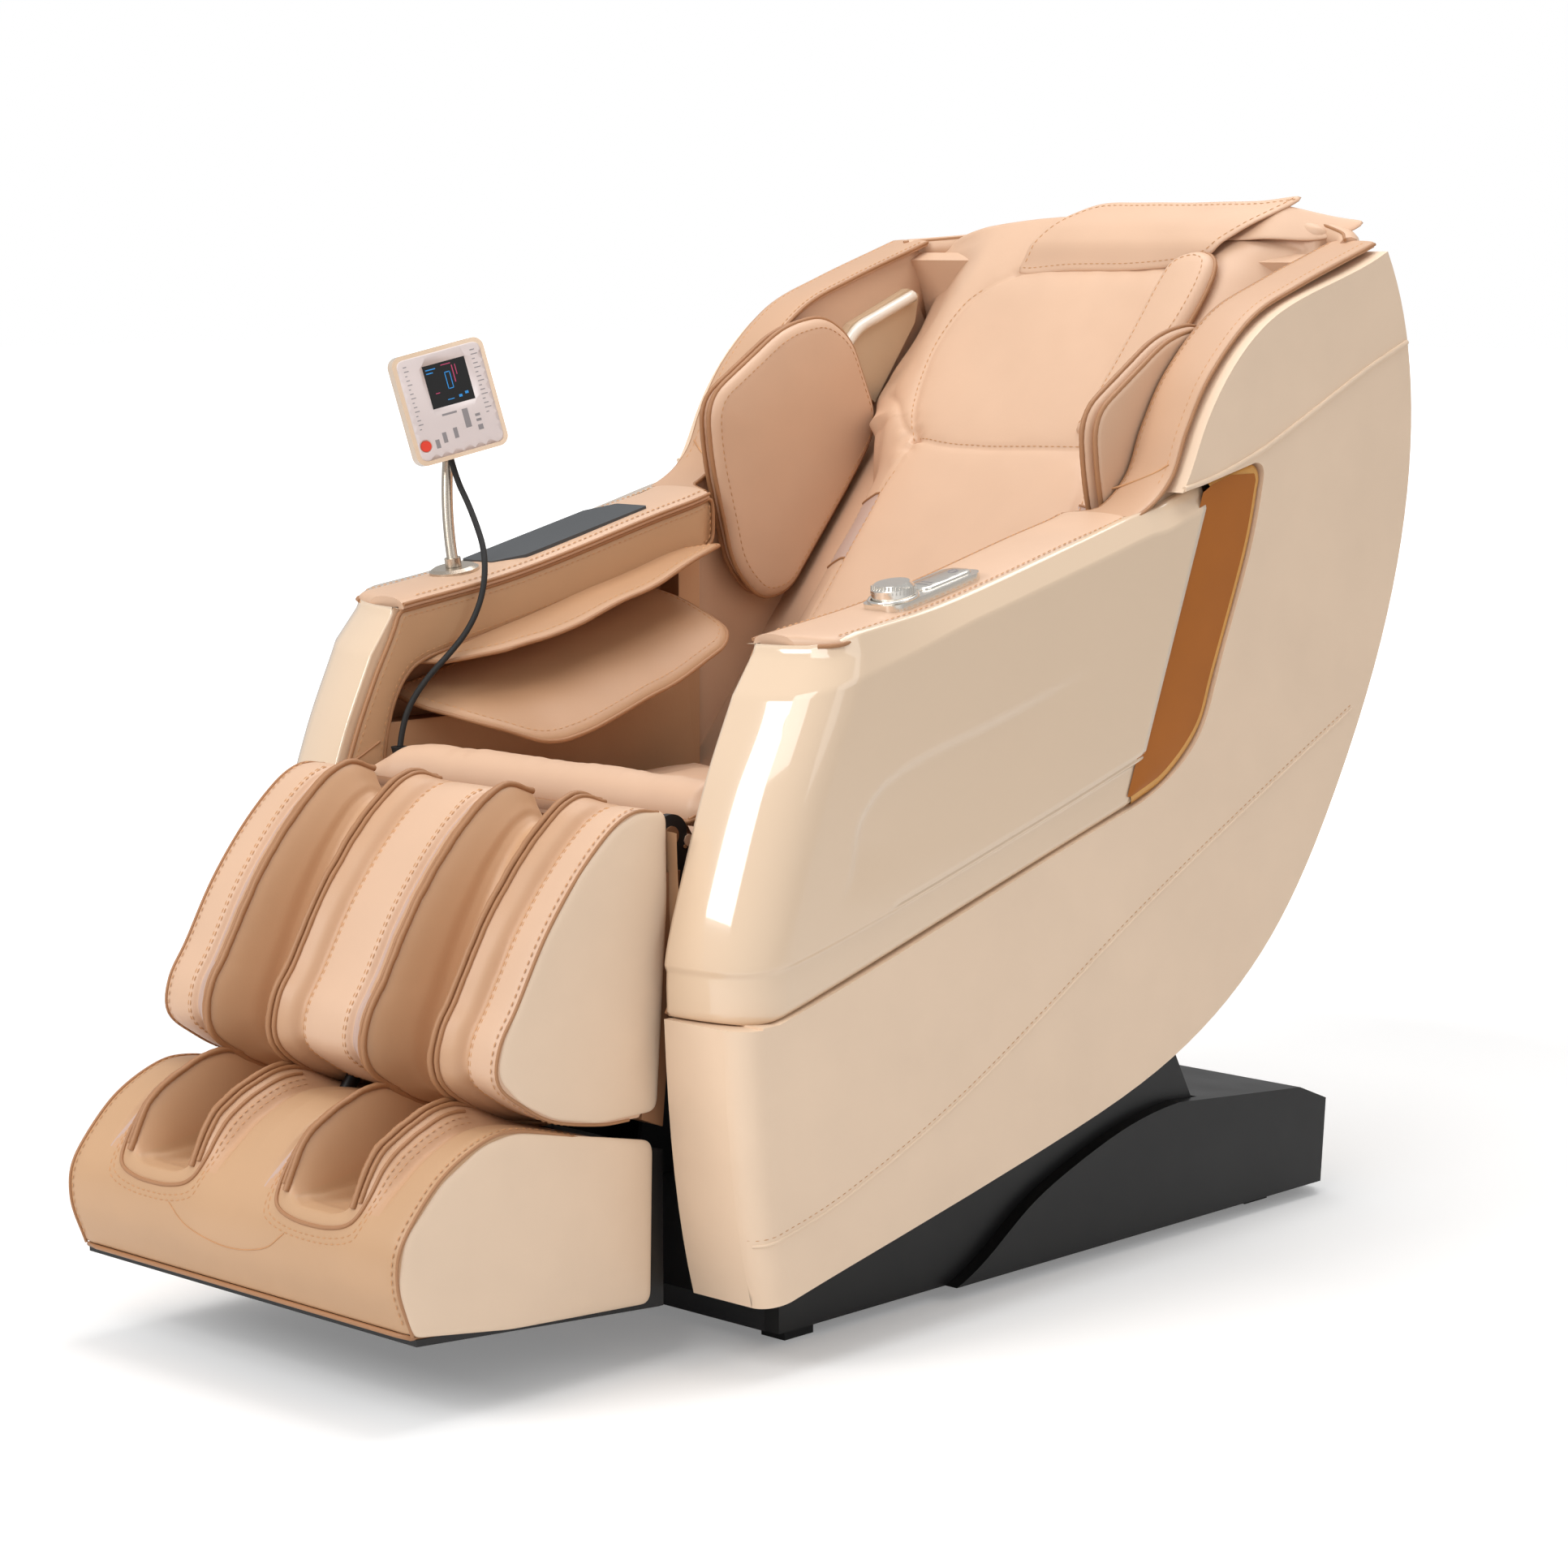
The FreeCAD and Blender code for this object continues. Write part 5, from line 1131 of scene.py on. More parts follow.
class CHAIR_OT_leather_edges(bpy.types.Operator):
    """Arm tops and the leather edge that runs up the shoulder and round the head"""

    bl_idname = "chair.leather_edges"
    bl_label = "Leather edges"

    def execute(self, context):
        split = next(i for i, p in enumerate(TOP_LINE) if p.x > 262)
        nose = [p for p in TOP_LINE[:split] if p.x > -229.5]
        shoulder = TOP_LINE[split - 1:]
        mitre = [(290 + 8 * step, 300 + 3.4 * step) for step in range(11)]
        up = Vector((0, -0.25, 1))
        shape, trim = Shape(), Shape()
        for _, sign in SIDES:
            strip(shape, nose, 272.2, arm_nose, sign, 9.0, 3.4)
            # painted shade: the shoulder strip (paint 1) takes the darker copy of the tan
            strip(shape, shoulder, shoulder_inner, EDGE_OUTER, sign, 3.0, 1.2, paint=1)
            trim.stitches(strip_line(nose[4:], 281, sign, 0.6), up)
            trim.stitches(strip_line(nose[4:], lambda y: max(arm_nose(y) - 8, 284), sign, 0.6), up)
            trim.tube(strip_line(nose, 272.4, sign, -4.5), 0.0022)
            trim.tube(strip_line(nose[1:], lambda y: arm_nose(y) + 0.5, sign, -7.5), 0.0022)
            for x in (320, 368):
                trim.stitches(strip_line(shoulder[10:], x, sign, 0.6), shoulder_lift)
            trim.tube(strip_line(shoulder, EDGE_OUTER + 0.2, sign, -3.5), 0.0020)
            trim.tube(strip_line(shoulder, shoulder_inner, sign, -2.5), 0.0023)
            trim.tube([spot(sign * x, y, lookup(shoulder, y) + 1.2) for x, y in mitre], 0.0012, 1)
        piece = subdivide(shape.build("leather_edges", ["tan", "tan_edge_shade"]))
        settle(piece, "capsule", "tan_leather", "edge_trims")
        settle_trim(trim, "leather_edge_seams")
        return {"FINISHED"}


# Arm boxes with their tunnels and air pads

TUNNEL = [(236, 606), (-244, 606), (-256, 618), (-246, 660), (-212, 700), (-154, 716), (23, 750), (222, 794),
          (236, 786)]
BAND_LOW = [(262, 778), (222, 768), (23, 724), (-148, 688), (-196, 676), (-220, 660), (-238, 632),
            (-248, 600), (-256, 556), (-272, 480), (-290, 382)]
TUNNEL_WALL = [(-296, 384), (-100, 392), (120, 414), (272, 430), (272, 826), (160, 800), (-60, 752),
               (-220, 716), (-262, 600)]
POST_SEAM = [(-322, 566), (-300, 572), (-262, 590)]
BAND_FACE = 279
WALL_FACE = 300
TUNNEL_FLOOR = 331


class CHAIR_OT_arm_boxes(bpy.types.Operator):
    """Padded band and front post on the inner side of each arm, and the wall with the tunnel behind them"""

    bl_idname = "chair.arm_boxes"
    bl_label = "Arm boxes"

    def execute(self, context):
        front = [Vector((p.x + 5 * ease((p.y - 660) / 60), p.y)) for p in offset(FRONT_LINE, -13.0)]
        arm = [p for p in offset(TOP_LINE, -12.5) if front[-1].x + 2 < p.x < 256]
        band = front + arm + [(266, 835), (272, 826), (272, 790)] + flat(BAND_LOW, 110)
        hole = rounded(TUNNEL, 24)
        for side, sign in SIDES:
            def on_band(a, b, h):
                return spot(sign * (BAND_FACE - h), a, b)

            shape, trim = Shape(), Shape()
            # painted shade: the band takes the darker foot leather
            panel = Panel(band, 4.0, 11, 1.5, 50)
            panel.add(shape, on_band, 9.0, wall=36.0, flip=sign > 0)
            # painted shade: the wall round the tunnel takes the darker inner leather
            wall = Panel(TUNNEL_WALL, 1.0, 5, 2.0, 60, holes=[hole])
            wall.add(shape, lambda a, b, h: spot(sign * (WALL_FACE - h), a, b), 14.0, 2, flip=sign > 0)
            # painted shade: the tunnel's sides and floor are dark shaded leather
            floor = [spot(sign * TUNNEL_FLOOR, a, b) for a, b in hole]
            shape.grid([[spot(sign * WALL_FACE, a, b) for a, b in hole], floor], 1, wrap=True, flip=sign < 0)
            shape.cap(floor, 1, flip=sign < 0)
            piece = shape.build("arm_box_" + side, ["tan_foot_shade", "dark_tan", "tan_inner_shade"])
            settle(piece, "capsule", "tan_leather", "arm_rest_" + side)
            panel.pipe(trim, on_band, 420, 1.5, 0.0026)
            line = panel.inner_line(7, 300)
            trim.stitches([on_band(a, b, 4.2) for a, b in line], Vector((-sign, 0, 0)))
            trim.tube(along([on_band(a, b, 4.6) for a, b in POST_SEAM], 30), 0.0016)
            settle_trim(trim, "arm_box_seams_" + side)
        return {"FINISHED"}


UPPER_FLAP = [(0, 0), (436, 0), (450, 50), (458, 106), (430, 114), (340, 120), (220, 116), (110, 98),
              (40, 66), (6, 30)]
LOWER_FLAP = [(14, 0), (424, 0), (440, 60), (440, 132), (414, 152), (300, 158), (180, 160), (100, 150),
              (48, 112), (16, 56)]
# Name, front end, slope, lean, outline, thickness, belly, droop at four places, corner radius
FLAP_KINDS = (("upper", (330.7, -212, 672), 0.215, 0.10, UPPER_FLAP, 7.0, 2.5, (46, 34, 16, -4), 8),
              ("lower", (331.7, -212, 628), 0.24, -0.22, LOWER_FLAP, 10.0, 5.0, (12, 40, 34, 22), 20))


class CHAIR_OT_arm_flaps(bpy.types.Operator):
    """Two thin air pads in each arm tunnel, with sewn edges"""

    bl_idname = "chair.arm_flaps"
    bl_label = "Arm air pads"

    def execute(self, context):
        for label, start, slope, rise, corners, thick, belly, droops, radius in FLAP_KINDS:
            ahead = Vector((0, 1, slope)).normalized()
            out = ahead.cross(Vector((-1, 0, rise))).normalized()
            across = out.cross(ahead)
            stations = [(150 * number, droop) for number, droop in enumerate(droops)]
            for side, sign in SIDES:
                def at(a, b, h):
                    reach = max(b, 0) / 130
                    sag = between(stations, a) * reach ** 1.4 + 1.6 * drift(a * 0.012, b * 0.02, 3.0) * reach
                    lifted = out * (h + thick * 0.5) - Vector((0, 0, sag))
                    place = Vector(start) + ahead * a + across * b + lifted
                    return spot(sign * place.x, place.y, place.z)

                shape, trim = Shape(), Shape()
                panel = Panel(flat(rounded(corners, radius), 170, closed=True), thick * 0.5, 9, belly, 60)
                panel.add(shape, at, 9.0, back=thick * 0.5, flip=sign > 0)
                # painted shade: the air pads take a darker copy of the tan
                piece = shape.build("arm_pad_%s_%s" % (label, side), ["tan_flap_shade"])
                body = "arm_flap_%s_%s" % (label, side)
                settle(piece, body, "tan_leather", body)
                panel.pipe(trim, at, 240, 0, 0.0026, 0.06)
                panel.sew(trim, at, 180, 9, 0.3, Vector((sign * out.x, out.y, out.z)))
                settle_trim(trim, "arm_pad_seams_%s_%s" % (label, side), body)
        return {"FINISHED"}


# Back rest, head flap, seat and its front lip

BACK_FOOT = (182, 529)
BACK_UP = (0.6363, 0.7714)
BACK_OUT = Vector((0, -BACK_UP[1], BACK_UP[0]))


def back_at(x, b, h):
    """Point of the back rest: across, up along it, and in front of its face."""
    foot_y, foot_z = BACK_FOOT
    up_y, up_z = BACK_UP
    return spot(x, foot_y + up_y * b - up_z * h, foot_z + up_z * b + up_y * h)


def both_sides(points):
    """A line drawn on the left half, and the same line mirrored."""
    return [points, [(-a, b) for a, b in points]]


BACK_SIDE = [(-180, 30), (-226, 44), (-244, 100), (-248, 300), (-248, 440), (-250, 496), (-266, 534),
             (-302, 588), (-309, 640), (-309, 740), (-306, 790), (-290, 812)]
BACK_TOP = [(-250, 824), (-150, 839), (-60, 846), (60, 849), (200, 849), (262, 843), (300, 826)]
WAIST_SEAM = [(-146, 486), (-92, 476), (-28, 474), (31, 475), (92, 478), (140, 482)]
ARCH_LEFT = [(-146, 486), (-164, 520), (-179, 562), (-187, 614), (-184, 650), (-171, 693), (-150, 720),
             (-121, 741)]
HEAD_SEAM = [(-121, 741), (-81, 746), (0, 749), (81, 752), (130, 757), (160, 765)]
FLANK_SEAM = [(-146, 486), (-150, 440), (-156, 394), (-156, 308), (-160, 200), (-150, 70)]
SHOULDER_FOLD = [(-146, 486), (-177, 508), (-206, 540), (-246, 566)]
CORNER_FOLD = [(60, 800), (250, 806), (270, 796), (276, 740)]
SIDE_DEPTHS = [(560, 40), (620, 52), (700, 60), (760, 56), (800, 26), (830, 8)]


def back_fall(a, b):
    """How far the back's face falls away at its flanks and towards the walls."""
    wide = abs(a)
    fall = 0.0
    if b < 520:
        fall += 0.55 * max(wide - 152, 0.0) * (1 - ease((b - 440) / 90)) + 14 * ease((wide - 200) / 40)
    if b > 470:
        fall += between(SIDE_DEPTHS, b) * ease((wide - 185) / 122) * ease((b - 470) / 90)
    return fall


def back_skin(a, b, h):
    """Point of the back's upholstery: flanks fall away and the leather lies in slow waves."""
    waves = 2.2 * drift(a * 0.011, b * 0.009, 4.0) + 0.9 * drift(a * 0.035, b * 0.02, 9.0)
    gather = 2.6 * drift(a * 0.05, b * 0.11, 2.0)
    near_waist = math.exp(-((abs(a) - 150) / 26) ** 2 - ((b - 478) / 30) ** 2)
    return back_at(a, b, h - 12 - back_fall(a, b) + waves + gather * near_waist * 2.2)


def back_paint(a, b):
    """Material number of the back: the inserts at its flanks are of stretch fabric."""
    return 1 if 157 < abs(a) < 202 and 306 < b < 404 else 0


class CHAIR_OT_back_rest(bpy.types.Operator):
    """Back rest: lower panel, arched upper panel, flanks with stretch inserts and the sides up to the head"""

    bl_idname = "chair.back_rest"
    bl_label = "Back rest"

    def execute(self, context):
        right = [(-a, b) for a, b in BACK_SIDE[::-1]]
        sewn = [WAIST_SEAM, HEAD_SEAM] + both_sides(ARCH_LEFT) + both_sides(FLANK_SEAM)
        seams = [flat(line, 70) for line in sewn + both_sides(SHOULDER_FOLD) + [CORNER_FOLD]]
        outline = flat(BACK_SIDE + BACK_TOP + right, 300)
        panel = Panel(outline, 8, 12, 12, 150, seams=seams, valley=2.6, valley_wide=5.0)
        shape, trim = Shape(), Shape()
        panel.add(shape, back_skin, 8.0, back_paint, wall=46.0)
        piece = shape.build("back_upholstery", ["tan", "stretch"])
        settle(piece, "capsule", "tan_leather", "back_pad_lower", "back_pad_upper")
        for seam in [WAIST_SEAM, HEAD_SEAM] + both_sides(ARCH_LEFT[:-1]) + both_sides(FLANK_SEAM[1:]):
            line = offset(flat(seam, 90), 4.0)
            trim.stitches(panel.on_top(back_skin, line[1:-1], 120), BACK_OUT)
        for side, b in ((-1, 404), (-1, 306), (1, 404), (1, 306)):
            trim.tube(panel.on_top(back_skin, [(157 * side, b), (202 * side, b)], 20), 0.0016)
        settle_trim(trim, "back_seams")
        return {"FINISHED"}


FLAP_OUTLINE = [(-116, 744), (-40, 748), (60, 750), (130, 756), (168, 766), (186, 786), (206, 806),
                (232, 836), (254, 864), (200, 857), (140, 854), (38, 853), (-36, 852), (-74, 832),
                (-102, 798), (-114, 768)]
UNDER_FLAP = [(90, 800), (190, 797), (250, 803), (296, 818), (334, 850), (250, 851), (90, 852)]
HEAD_RIM = [(-344, 700, 1132), (-326, 720, 1134), (-250, 735, 1140), (-150, 742, 1150), (0, 748, 1160),
            (150, 748, 1165), (250, 745, 1160), (318, 728, 1146), (344, 704, 1136)]


class CHAIR_OT_head(bpy.types.Operator):
    """Loose head flap with its raised tip, the sheet below it and the padded rim of the head end"""

    bl_idname = "chair.head"
    bl_label = "Head flap and rim"

    def execute(self, context):
        shape, trim = Shape(), Shape()

        def lifted(a, b, h):
            tip = ease((a - 150) / 100) * ease((b - 780) / 70)
            belly = 13 * ease((b - 744) / 40) * (1 - 0.8 * ease((b - 800) / 60))
            return back_at(a, b, h + 1.5 + belly + 1.6 * drift(a * 0.014, b * 0.02, 7.0) - 3 * tip)

        def lower(a, b, h):
            return back_at(a, b, h + 2 - 30 * ease((a - 220) / 110))

        flap = Panel(flat(FLAP_OUTLINE, 150, closed=True), 2.5, 4, 1.0, 40)
        flap.add(shape, lifted, 7.0, back=2.5)
        flap.sew(trim, lifted, 190, 7, 0.3, BACK_OUT)
        under = Panel(flat(UNDER_FLAP, 110, closed=True), 2.0, 4, 1.0, 40)
        under.add(shape, lower, 8.0, back=2.0)
        shape.tube(along([spot(*point) for point in HEAD_RIM], 160), 0.0135, sides=14)
        trim.tube(along([spot(x, y - 9, z + 9.5) for x, y, z in HEAD_RIM], 160), 0.0021)
        piece = shape.build("head_flap", ["tan"])
        settle(piece, "capsule", "tan_leather", "head_pillow")
        settle_trim(trim, "head_seams")
        return {"FINISHED"}


WALL_REAR = [(722, 1118), (714, 1040), (690, 930), (600, 730), (500, 610), (400, 530), (330, 490), (276, 450),
             (276, 640)]


class CHAIR_OT_side_walls(bpy.types.Operator):
    """Leather inner walls beside the sitter's head and shoulders"""

    bl_idname = "chair.side_walls"
    bl_label = "Inner walls"

    def execute(self, context):
        top = [p for p in offset(TOP_LINE, -8.0) if p.x > 276]
        for side, sign in SIDES:
            shape = Shape()
            panel = Panel(top[::3] + WALL_REAR, 3.0, 8, 1.5, 60, wobble=1.0)
            panel.add(shape, lambda a, b, h: spot(sign * (326 - h), a, b), 12.0, wall=14.0, flip=sign > 0)
            shape.grid([[back_at(sign * (236 + 90 * part), 10 + 570 * step / 40, -60 - 30 * ease(part))
                         for part in (0, 0.3, 0.6, 1.0)] for step in range(41)], flip=sign < 0)
            piece = shape.build("inner_wall_" + side, ["tan"])
            settle(piece, "capsule", "tan_leather", *(["side_linings"] if sign > 0 else []))
        return {"FINISHED"}


SEAT_SEAM = [(-170, -240), (-178, 0), (-170, 190)]
LIP_SECTION = [(-286, 552), (-291, 566), (-283, 584), (-262, 595), (-240, 591), (-228, 576), (-232, 556),
               (-258, 548)]
APRON = [(-272, 470), (-290, 471), (-293, 500), (-294, 530), (-291, 552), (-266, 552)]


def lip_rows():
    """Cross-sections of the seat's front lip, thinner and drawn forward at its right end."""
    rows = []
    for step in range(121):
        x = -261 + 517 * step / 120
        end = min(1.0, (x + 261) / 50 + 0.10, (256 - x) / 20 + 0.3)
        pull = 20 * (1 - ease((x + 260) / 100))
        sag = 3.5 * drift(x * 0.016, 2.2) + 1.2 * drift(x * 0.07, 5.0)
        row = []
        for y, z in flat(LIP_SECTION, 28, closed=True):
            level = 570 + (z - 570) * end + sag * ((z - 552) / 44)
            row.append(spot(x, -262 + (y + 262) * (0.55 + 0.45 * end) - pull, level - pull * 0.4))
        rows.append(row)
    return rows


def lip_trim(low):
    """Gathered piping under the lip and the fold of loose leather below it."""
    trim = Shape()
    trim.tube(even(low, 200), 0.0030, pucker=0.22)
    below = [point + Vector((0, -0.0015, -0.0085)) for point in low[6:-6]]
    trim.tube(even(below, 180), 0.0020, pucker=0.2)
    fold = []
    for step in range(60):
        x = -246 + 492 * step / 59
        fold.append(spot(x, -293 + 3 * drift(x * 0.02, 7.0), 538 + 5 * drift(x * 0.013, 3.0, 1)))
    trim.tube(fold, 0.0068, 1, pucker=0.08)
    trim.tube([point + Vector((0, -0.0055, -0.006)) for point in fold], 0.0022, pucker=0.15)
    return trim


class CHAIR_OT_seat(bpy.types.Operator):
    """Seat cushion and its soft front lip"""

    bl_idname = "chair.seat"
    bl_label = "Seat"

    def execute(self, context):
        shape, lip = Shape(), Shape()
        corners = rounded([(-250, -262), (250, -262), (250, 212), (-250, 212)], 40)
        seams = [flat(line, 50) for line in both_sides(SEAT_SEAM)]
        panel = Panel(corners, 34, 36, 14, 150, seams=seams, valley=3.0, wobble=3.0)
        panel.add(shape, lambda a, b, h: spot(a, b, 489 + h), 10.0, back=38.0)
        piece = shape.build("seat_upholstery", ["tan"])
        settle(piece, "capsule", "tan_leather", "seat_cushion")
        rows = lip_rows()
        lip.grid(rows, wrap=True)
        lip.cap(rows[0], flip=True)
        lip.cap(rows[-1])
        lip.grid([[spot(x, y + 1.5 * drift(x * 0.02, z * 0.03, 1), z) for y, z in APRON]
                  for x in range(-230, 231, 10)], wrap=True)
        piece = subdivide(lip.build("seat_lip", ["tan"]))
        settle(piece, "capsule", "tan_leather", "seat_front_flap")
        trim = lip_trim([row[1] + Vector((0, -0.0015, -0.001)) for row in rows])
        settle(trim.build("seat_lip_piping", ["piping", "tan"]), "capsule", "tan_leather")
        return {"FINISHED"}


# Shoulder and neck pads

SHOULDER_PAD = [(276, 955), (284, 880), (322, 748), (368, 706), (418, 714), (535, 850), (582, 914),
                (530, 1024), (480, 1052), (410, 1040)]
SHOULDER_BAG = [(375, 843), (375, 808), (408, 765), (440, 785), (555, 912), (545, 950), (505, 1000),
                (440, 925)]
NECK_PAD = [(106, 500), (110, 560), (119, 650), (123, 720), (133, 751), (164, 764), (190, 752), (198, 714),
            (192, 650), (172, 590), (150, 530)]


def pad_layer(shape, trim, outline, at, thick, crown, out, flip, piped=True, sewn=True):
    """One padded layer, with piping round it and a row of stitches inside its edge."""
    half_thick = thick / 2
    panel = Panel(outline, half_thick, min(14, half_thick * 1.4), crown, 90, wobble=1.5)
    panel.add(shape, at, 8.0, back=half_thick, flip=flip)
    if piped:
        panel.pipe(trim, at, 260, 0, 0.0031, 0.06)
    if sewn:
        panel.sew(trim, at, 240, 11, 0.2, out)


def wing_layer(shape, trim, corners, radius, sign, low, high, crown, grow=0.0, **kinds):
    """A layer of a pad that stands upright at the side, between two distances from the middle."""
    outline = shrink(flat(rounded(corners, radius, 5), 170, closed=True), -grow)
    middle = (low + high) / 2
    pad_layer(shape, trim, outline, lambda a, b, h: spot(sign * (middle - h), a, b), low - high, crown,
              Vector((-sign, 0, 0)), sign > 0, **kinds)


class CHAIR_OT_side_pads(bpy.types.Operator):
    """Shoulder pads in two piped layers, and the neck pad beside the head"""

    bl_idname = "chair.side_pads"
    bl_label = "Shoulder and neck pads"

    def execute(self, context):
        for side, sign in SIDES:
            shape, trim = Shape(), Shape()
            wing_layer(shape, trim, SHOULDER_PAD, 44, sign, 300, 281, 6.0)
            wing_layer(shape, trim, SHOULDER_PAD, 44, sign, 311, 302, 1.0, grow=-4.0, sewn=False)
            wing_layer(shape, trim, SHOULDER_BAG, 24, sign, 322, 311, 1.0, piped=False, sewn=False)
            piece = shape.build("shoulder_cushion_" + side, ["tan"])
            body = "shoulder_pad_" + side
            settle(piece, body, "tan_leather", body)
            settle_trim(trim, "shoulder_piping_" + side, body)
        shape, trim = Shape(), Shape()
        pad_layer(shape, trim, flat(NECK_PAD, 150, closed=True),
                  lambda a, b, h: back_at(a, b, 16 + h - 0.05 * (750 - b)), 24, 5.0, BACK_OUT, False)
        piece = shape.build("neck_cushion", ["tan"])
        settle(piece, "capsule", "tan_leather", "neck_pads")
        settle_trim(trim, "neck_piping")
        return {"FINISHED"}


# Arm covers and shell trim

FACE_ROUND = 250.0
FACE_TURN = math.radians(16)
COVER_INNER = 282
CORNER_ROUND = (SHELL_OUTER - COVER_INNER - FACE_ROUND * math.sin(FACE_TURN)) / (1 - math.sin(FACE_TURN))
FACE_RUN = FACE_ROUND * FACE_TURN
CORNER_RUN = FACE_RUN + CORNER_ROUND * (math.pi / 2 - FACE_TURN)
CORNER_DEPTH = FACE_ROUND * (1 - math.cos(FACE_TURN)) + CORNER_ROUND * math.cos(FACE_TURN)

COVER_TOP = flat([(-420, 700)] + TOP[:4] + [(300, 854), (340, 866), (382, 879.5)], 90)
COVER_FRONT = flat(FRONT, 80)
COVER_GROOVE = [(-420, 424), (-390, 424), (-316, 427), (-147, 466), (113, 539), (270, 586)]
COVER_LINES = {"low": flat(COVER_LOW, 60), "groove": flat(COVER_GROOVE, 80)}
CREASE = flat([(-232, 470), (-209, 507), (-197, 556), (-172, 586), (-140, 604), (-85, 622), (44, 652),
               (207, 698)], 90)
CREASE_SIDES = left_of(CREASE)


def cover_rear(level):
    """Depth of the cover's straight rear edge at a height."""
    return 246 + 136 * (level - 531) / 348.5


def cover_at(run, share, level):
    """Point of the arm cover's outer face, and the direction out of it.

    run counts from the inner front edge over the slightly curved front and round the corner; past the corner,
    share takes over to the rear edge.
    """
    front = lookup(COVER_FRONT, level, 1)
    start = front + CORNER_DEPTH
    if share > 0:
        return Vector((SHELL_OUTER, start + (cover_rear(level) - start) * share, level)), Vector((1, 0, 0))
    if run <= FACE_RUN:
        turn = run / FACE_ROUND
        x = COVER_INNER + FACE_ROUND * math.sin(turn)
        y = front + FACE_ROUND * (1 - math.cos(turn))
    else:
        turn = FACE_TURN + (run - FACE_RUN) / CORNER_ROUND
        x = SHELL_OUTER - CORNER_ROUND + CORNER_ROUND * math.sin(turn)
        y = start - CORNER_ROUND * math.cos(turn)
    out = Vector((math.sin(turn), -math.cos(turn), 0.25 * math.cos(turn))).normalized()
    return Vector((x, y, level)), out


def cover_line(kind, where, run, share):
    """Height of one of the cover's lines at a depth."""
    if kind in COVER_LINES:
        return lookup(COVER_LINES[kind], where.y)
    top = lookup(COVER_TOP, where.y) - 0.5
    if kind == "top":
        return top
    return top - 24 - 26 * (1 - ease((run + share * 480 - 60) / 260))


def cover_inset(point, part, kind, run, share):
    """How far the cover's face steps in at a point: bevel, relief, lower band and panel gap."""
    if kind == "bevel":
        return (16.5 - 2.5 * (1 - ease(run / 100))) * part
    if kind == "band":
        inset = 4.0 * ease((1 - part) / 0.16) + 3.0 * ease((0.08 - part) / 0.08)
        if share > 0:
            inset += 2.5 * ease((part - 0.93) / 0.07) * ease((point.y + 150) / 20)
        return inset
    if share == 0:
        return 0.0
    nearest = min(range(len(CREASE)), key=lambda i: (CREASE[i] - point.yz).length)
    away = (CREASE[nearest] - point.yz).dot(CREASE_SIDES[nearest])
    fades = ease((point.z - 470) / 70) * ease((207 - point.y) / 190)
    return 2.6 * ease((away + 4) / 8) * fades * (1 - ease((away - 10) / 150))


def cover_point(run, share, kind, lower, upper, part, sign):
    """Point of the finished cover, at a part of the way between two of its lines."""
    level = 640.0
    for _ in range(6):
        where, out = cover_at(run, share, level)
        low = cover_line(lower, where, run, share)
        high = cover_line(upper, where, run, share)
        level = low + (high - low) * part
    where, out = cover_at(run, share, level)
    where = where - out * cover_inset(where, part, kind, run, share)
    return spot(sign * where.x, where.y, where.z)


BAND_PARTS = (0, 0.03, 0.08, 0.2, 0.4, 0.6, 0.76, 0.82, 0.86, 0.90, 0.93, 0.955, 0.975, 0.99, 1)
COVER_SPANS = (("band", "low", "groove", BAND_PARTS),
               ("face", "groove", "bevel", [step / 62 for step in range(1, 63)]),
               ("bevel", "bevel", "top", [step / 10 for step in range(1, 11)]))


class CHAIR_OT_arm_covers(bpy.types.Operator):
    """Glossy arm covers with their bevelled top, relief line and stepped lower band"""

    bl_idname = "chair.arm_covers"
    bl_label = "Arm covers"

    def execute(self, context):
        columns = [(CORNER_RUN * i / 46, 0.0) for i in range(47)]
        columns += [(CORNER_RUN, ((i + 1) / 84) ** 1.15) for i in range(84)]
        for side, sign in SIDES:
            rows = [[cover_point(run, share, kind, lower, upper, part, sign) for run, share in columns]
                    for kind, lower, upper, parts in COVER_SPANS for part in parts]
            rows.insert(0, [point + Vector((-sign * 0.0056, 0.0056, -0.001)) for point in rows[0]])
            rows.append([point + Vector((-sign * 0.012, 0, -0.001)) for point in rows[-1]])
            full = []
            for row in rows:
                (y, z), (rear_y, rear_z) = [(p.y / MM - DEPTH_SHIFT, p.z / MM) for p in (row[0], row[-1])]
                inner = [spot(sign * COVER_INNER, y + 22, z - 1), spot(sign * COVER_INNER, y + 3, z)]
                full.append(inner + row + [spot(sign * EDGE_OUTER, rear_y, rear_z)])
            shape = Shape()
            shape.grid(full, flip=sign < 0)
            piece = shape.build("arm_cover_face_" + side, ["champagne"])
            settle(piece, "capsule", "champagne_plastic", "arm_cover_" + side)
        return {"FINISHED"}


class OnShell:
    """Drops points and lines of the drawings onto a frame node"""

    def __init__(self, node, sign):
        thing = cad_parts[node]
        made = bmesh.new()
        made.from_mesh(thing.data)
        made.transform(thing.matrix_world)
        self.tree = BVHTree.FromBMesh(made)
        made.free()
        self.sign = sign

    def at(self, y, z, lift):
        """Point of the face at a depth and height, or None beside it."""
        start = spot(self.sign * 600, y, z)
        hit = self.tree.ray_cast(start, Vector((-self.sign, 0, 0)))
        if hit[0] is None or abs(hit[0].x) < 0.30:
            return None
        return hit[0] + hit[1] * lift * MM

    def line(self, points, count, lift):
        """Line of the side drawing on the face."""
        found = [self.at(p.x, p.y, lift) for p in flat(points, count)]
        return [point for point in found if point is not None]

    def drop(self, x, y):
        """Point of the node straight below a place."""
        return self.tree.ray_cast(spot(x, y, 1200), Vector((0, 0, -1)))[0]


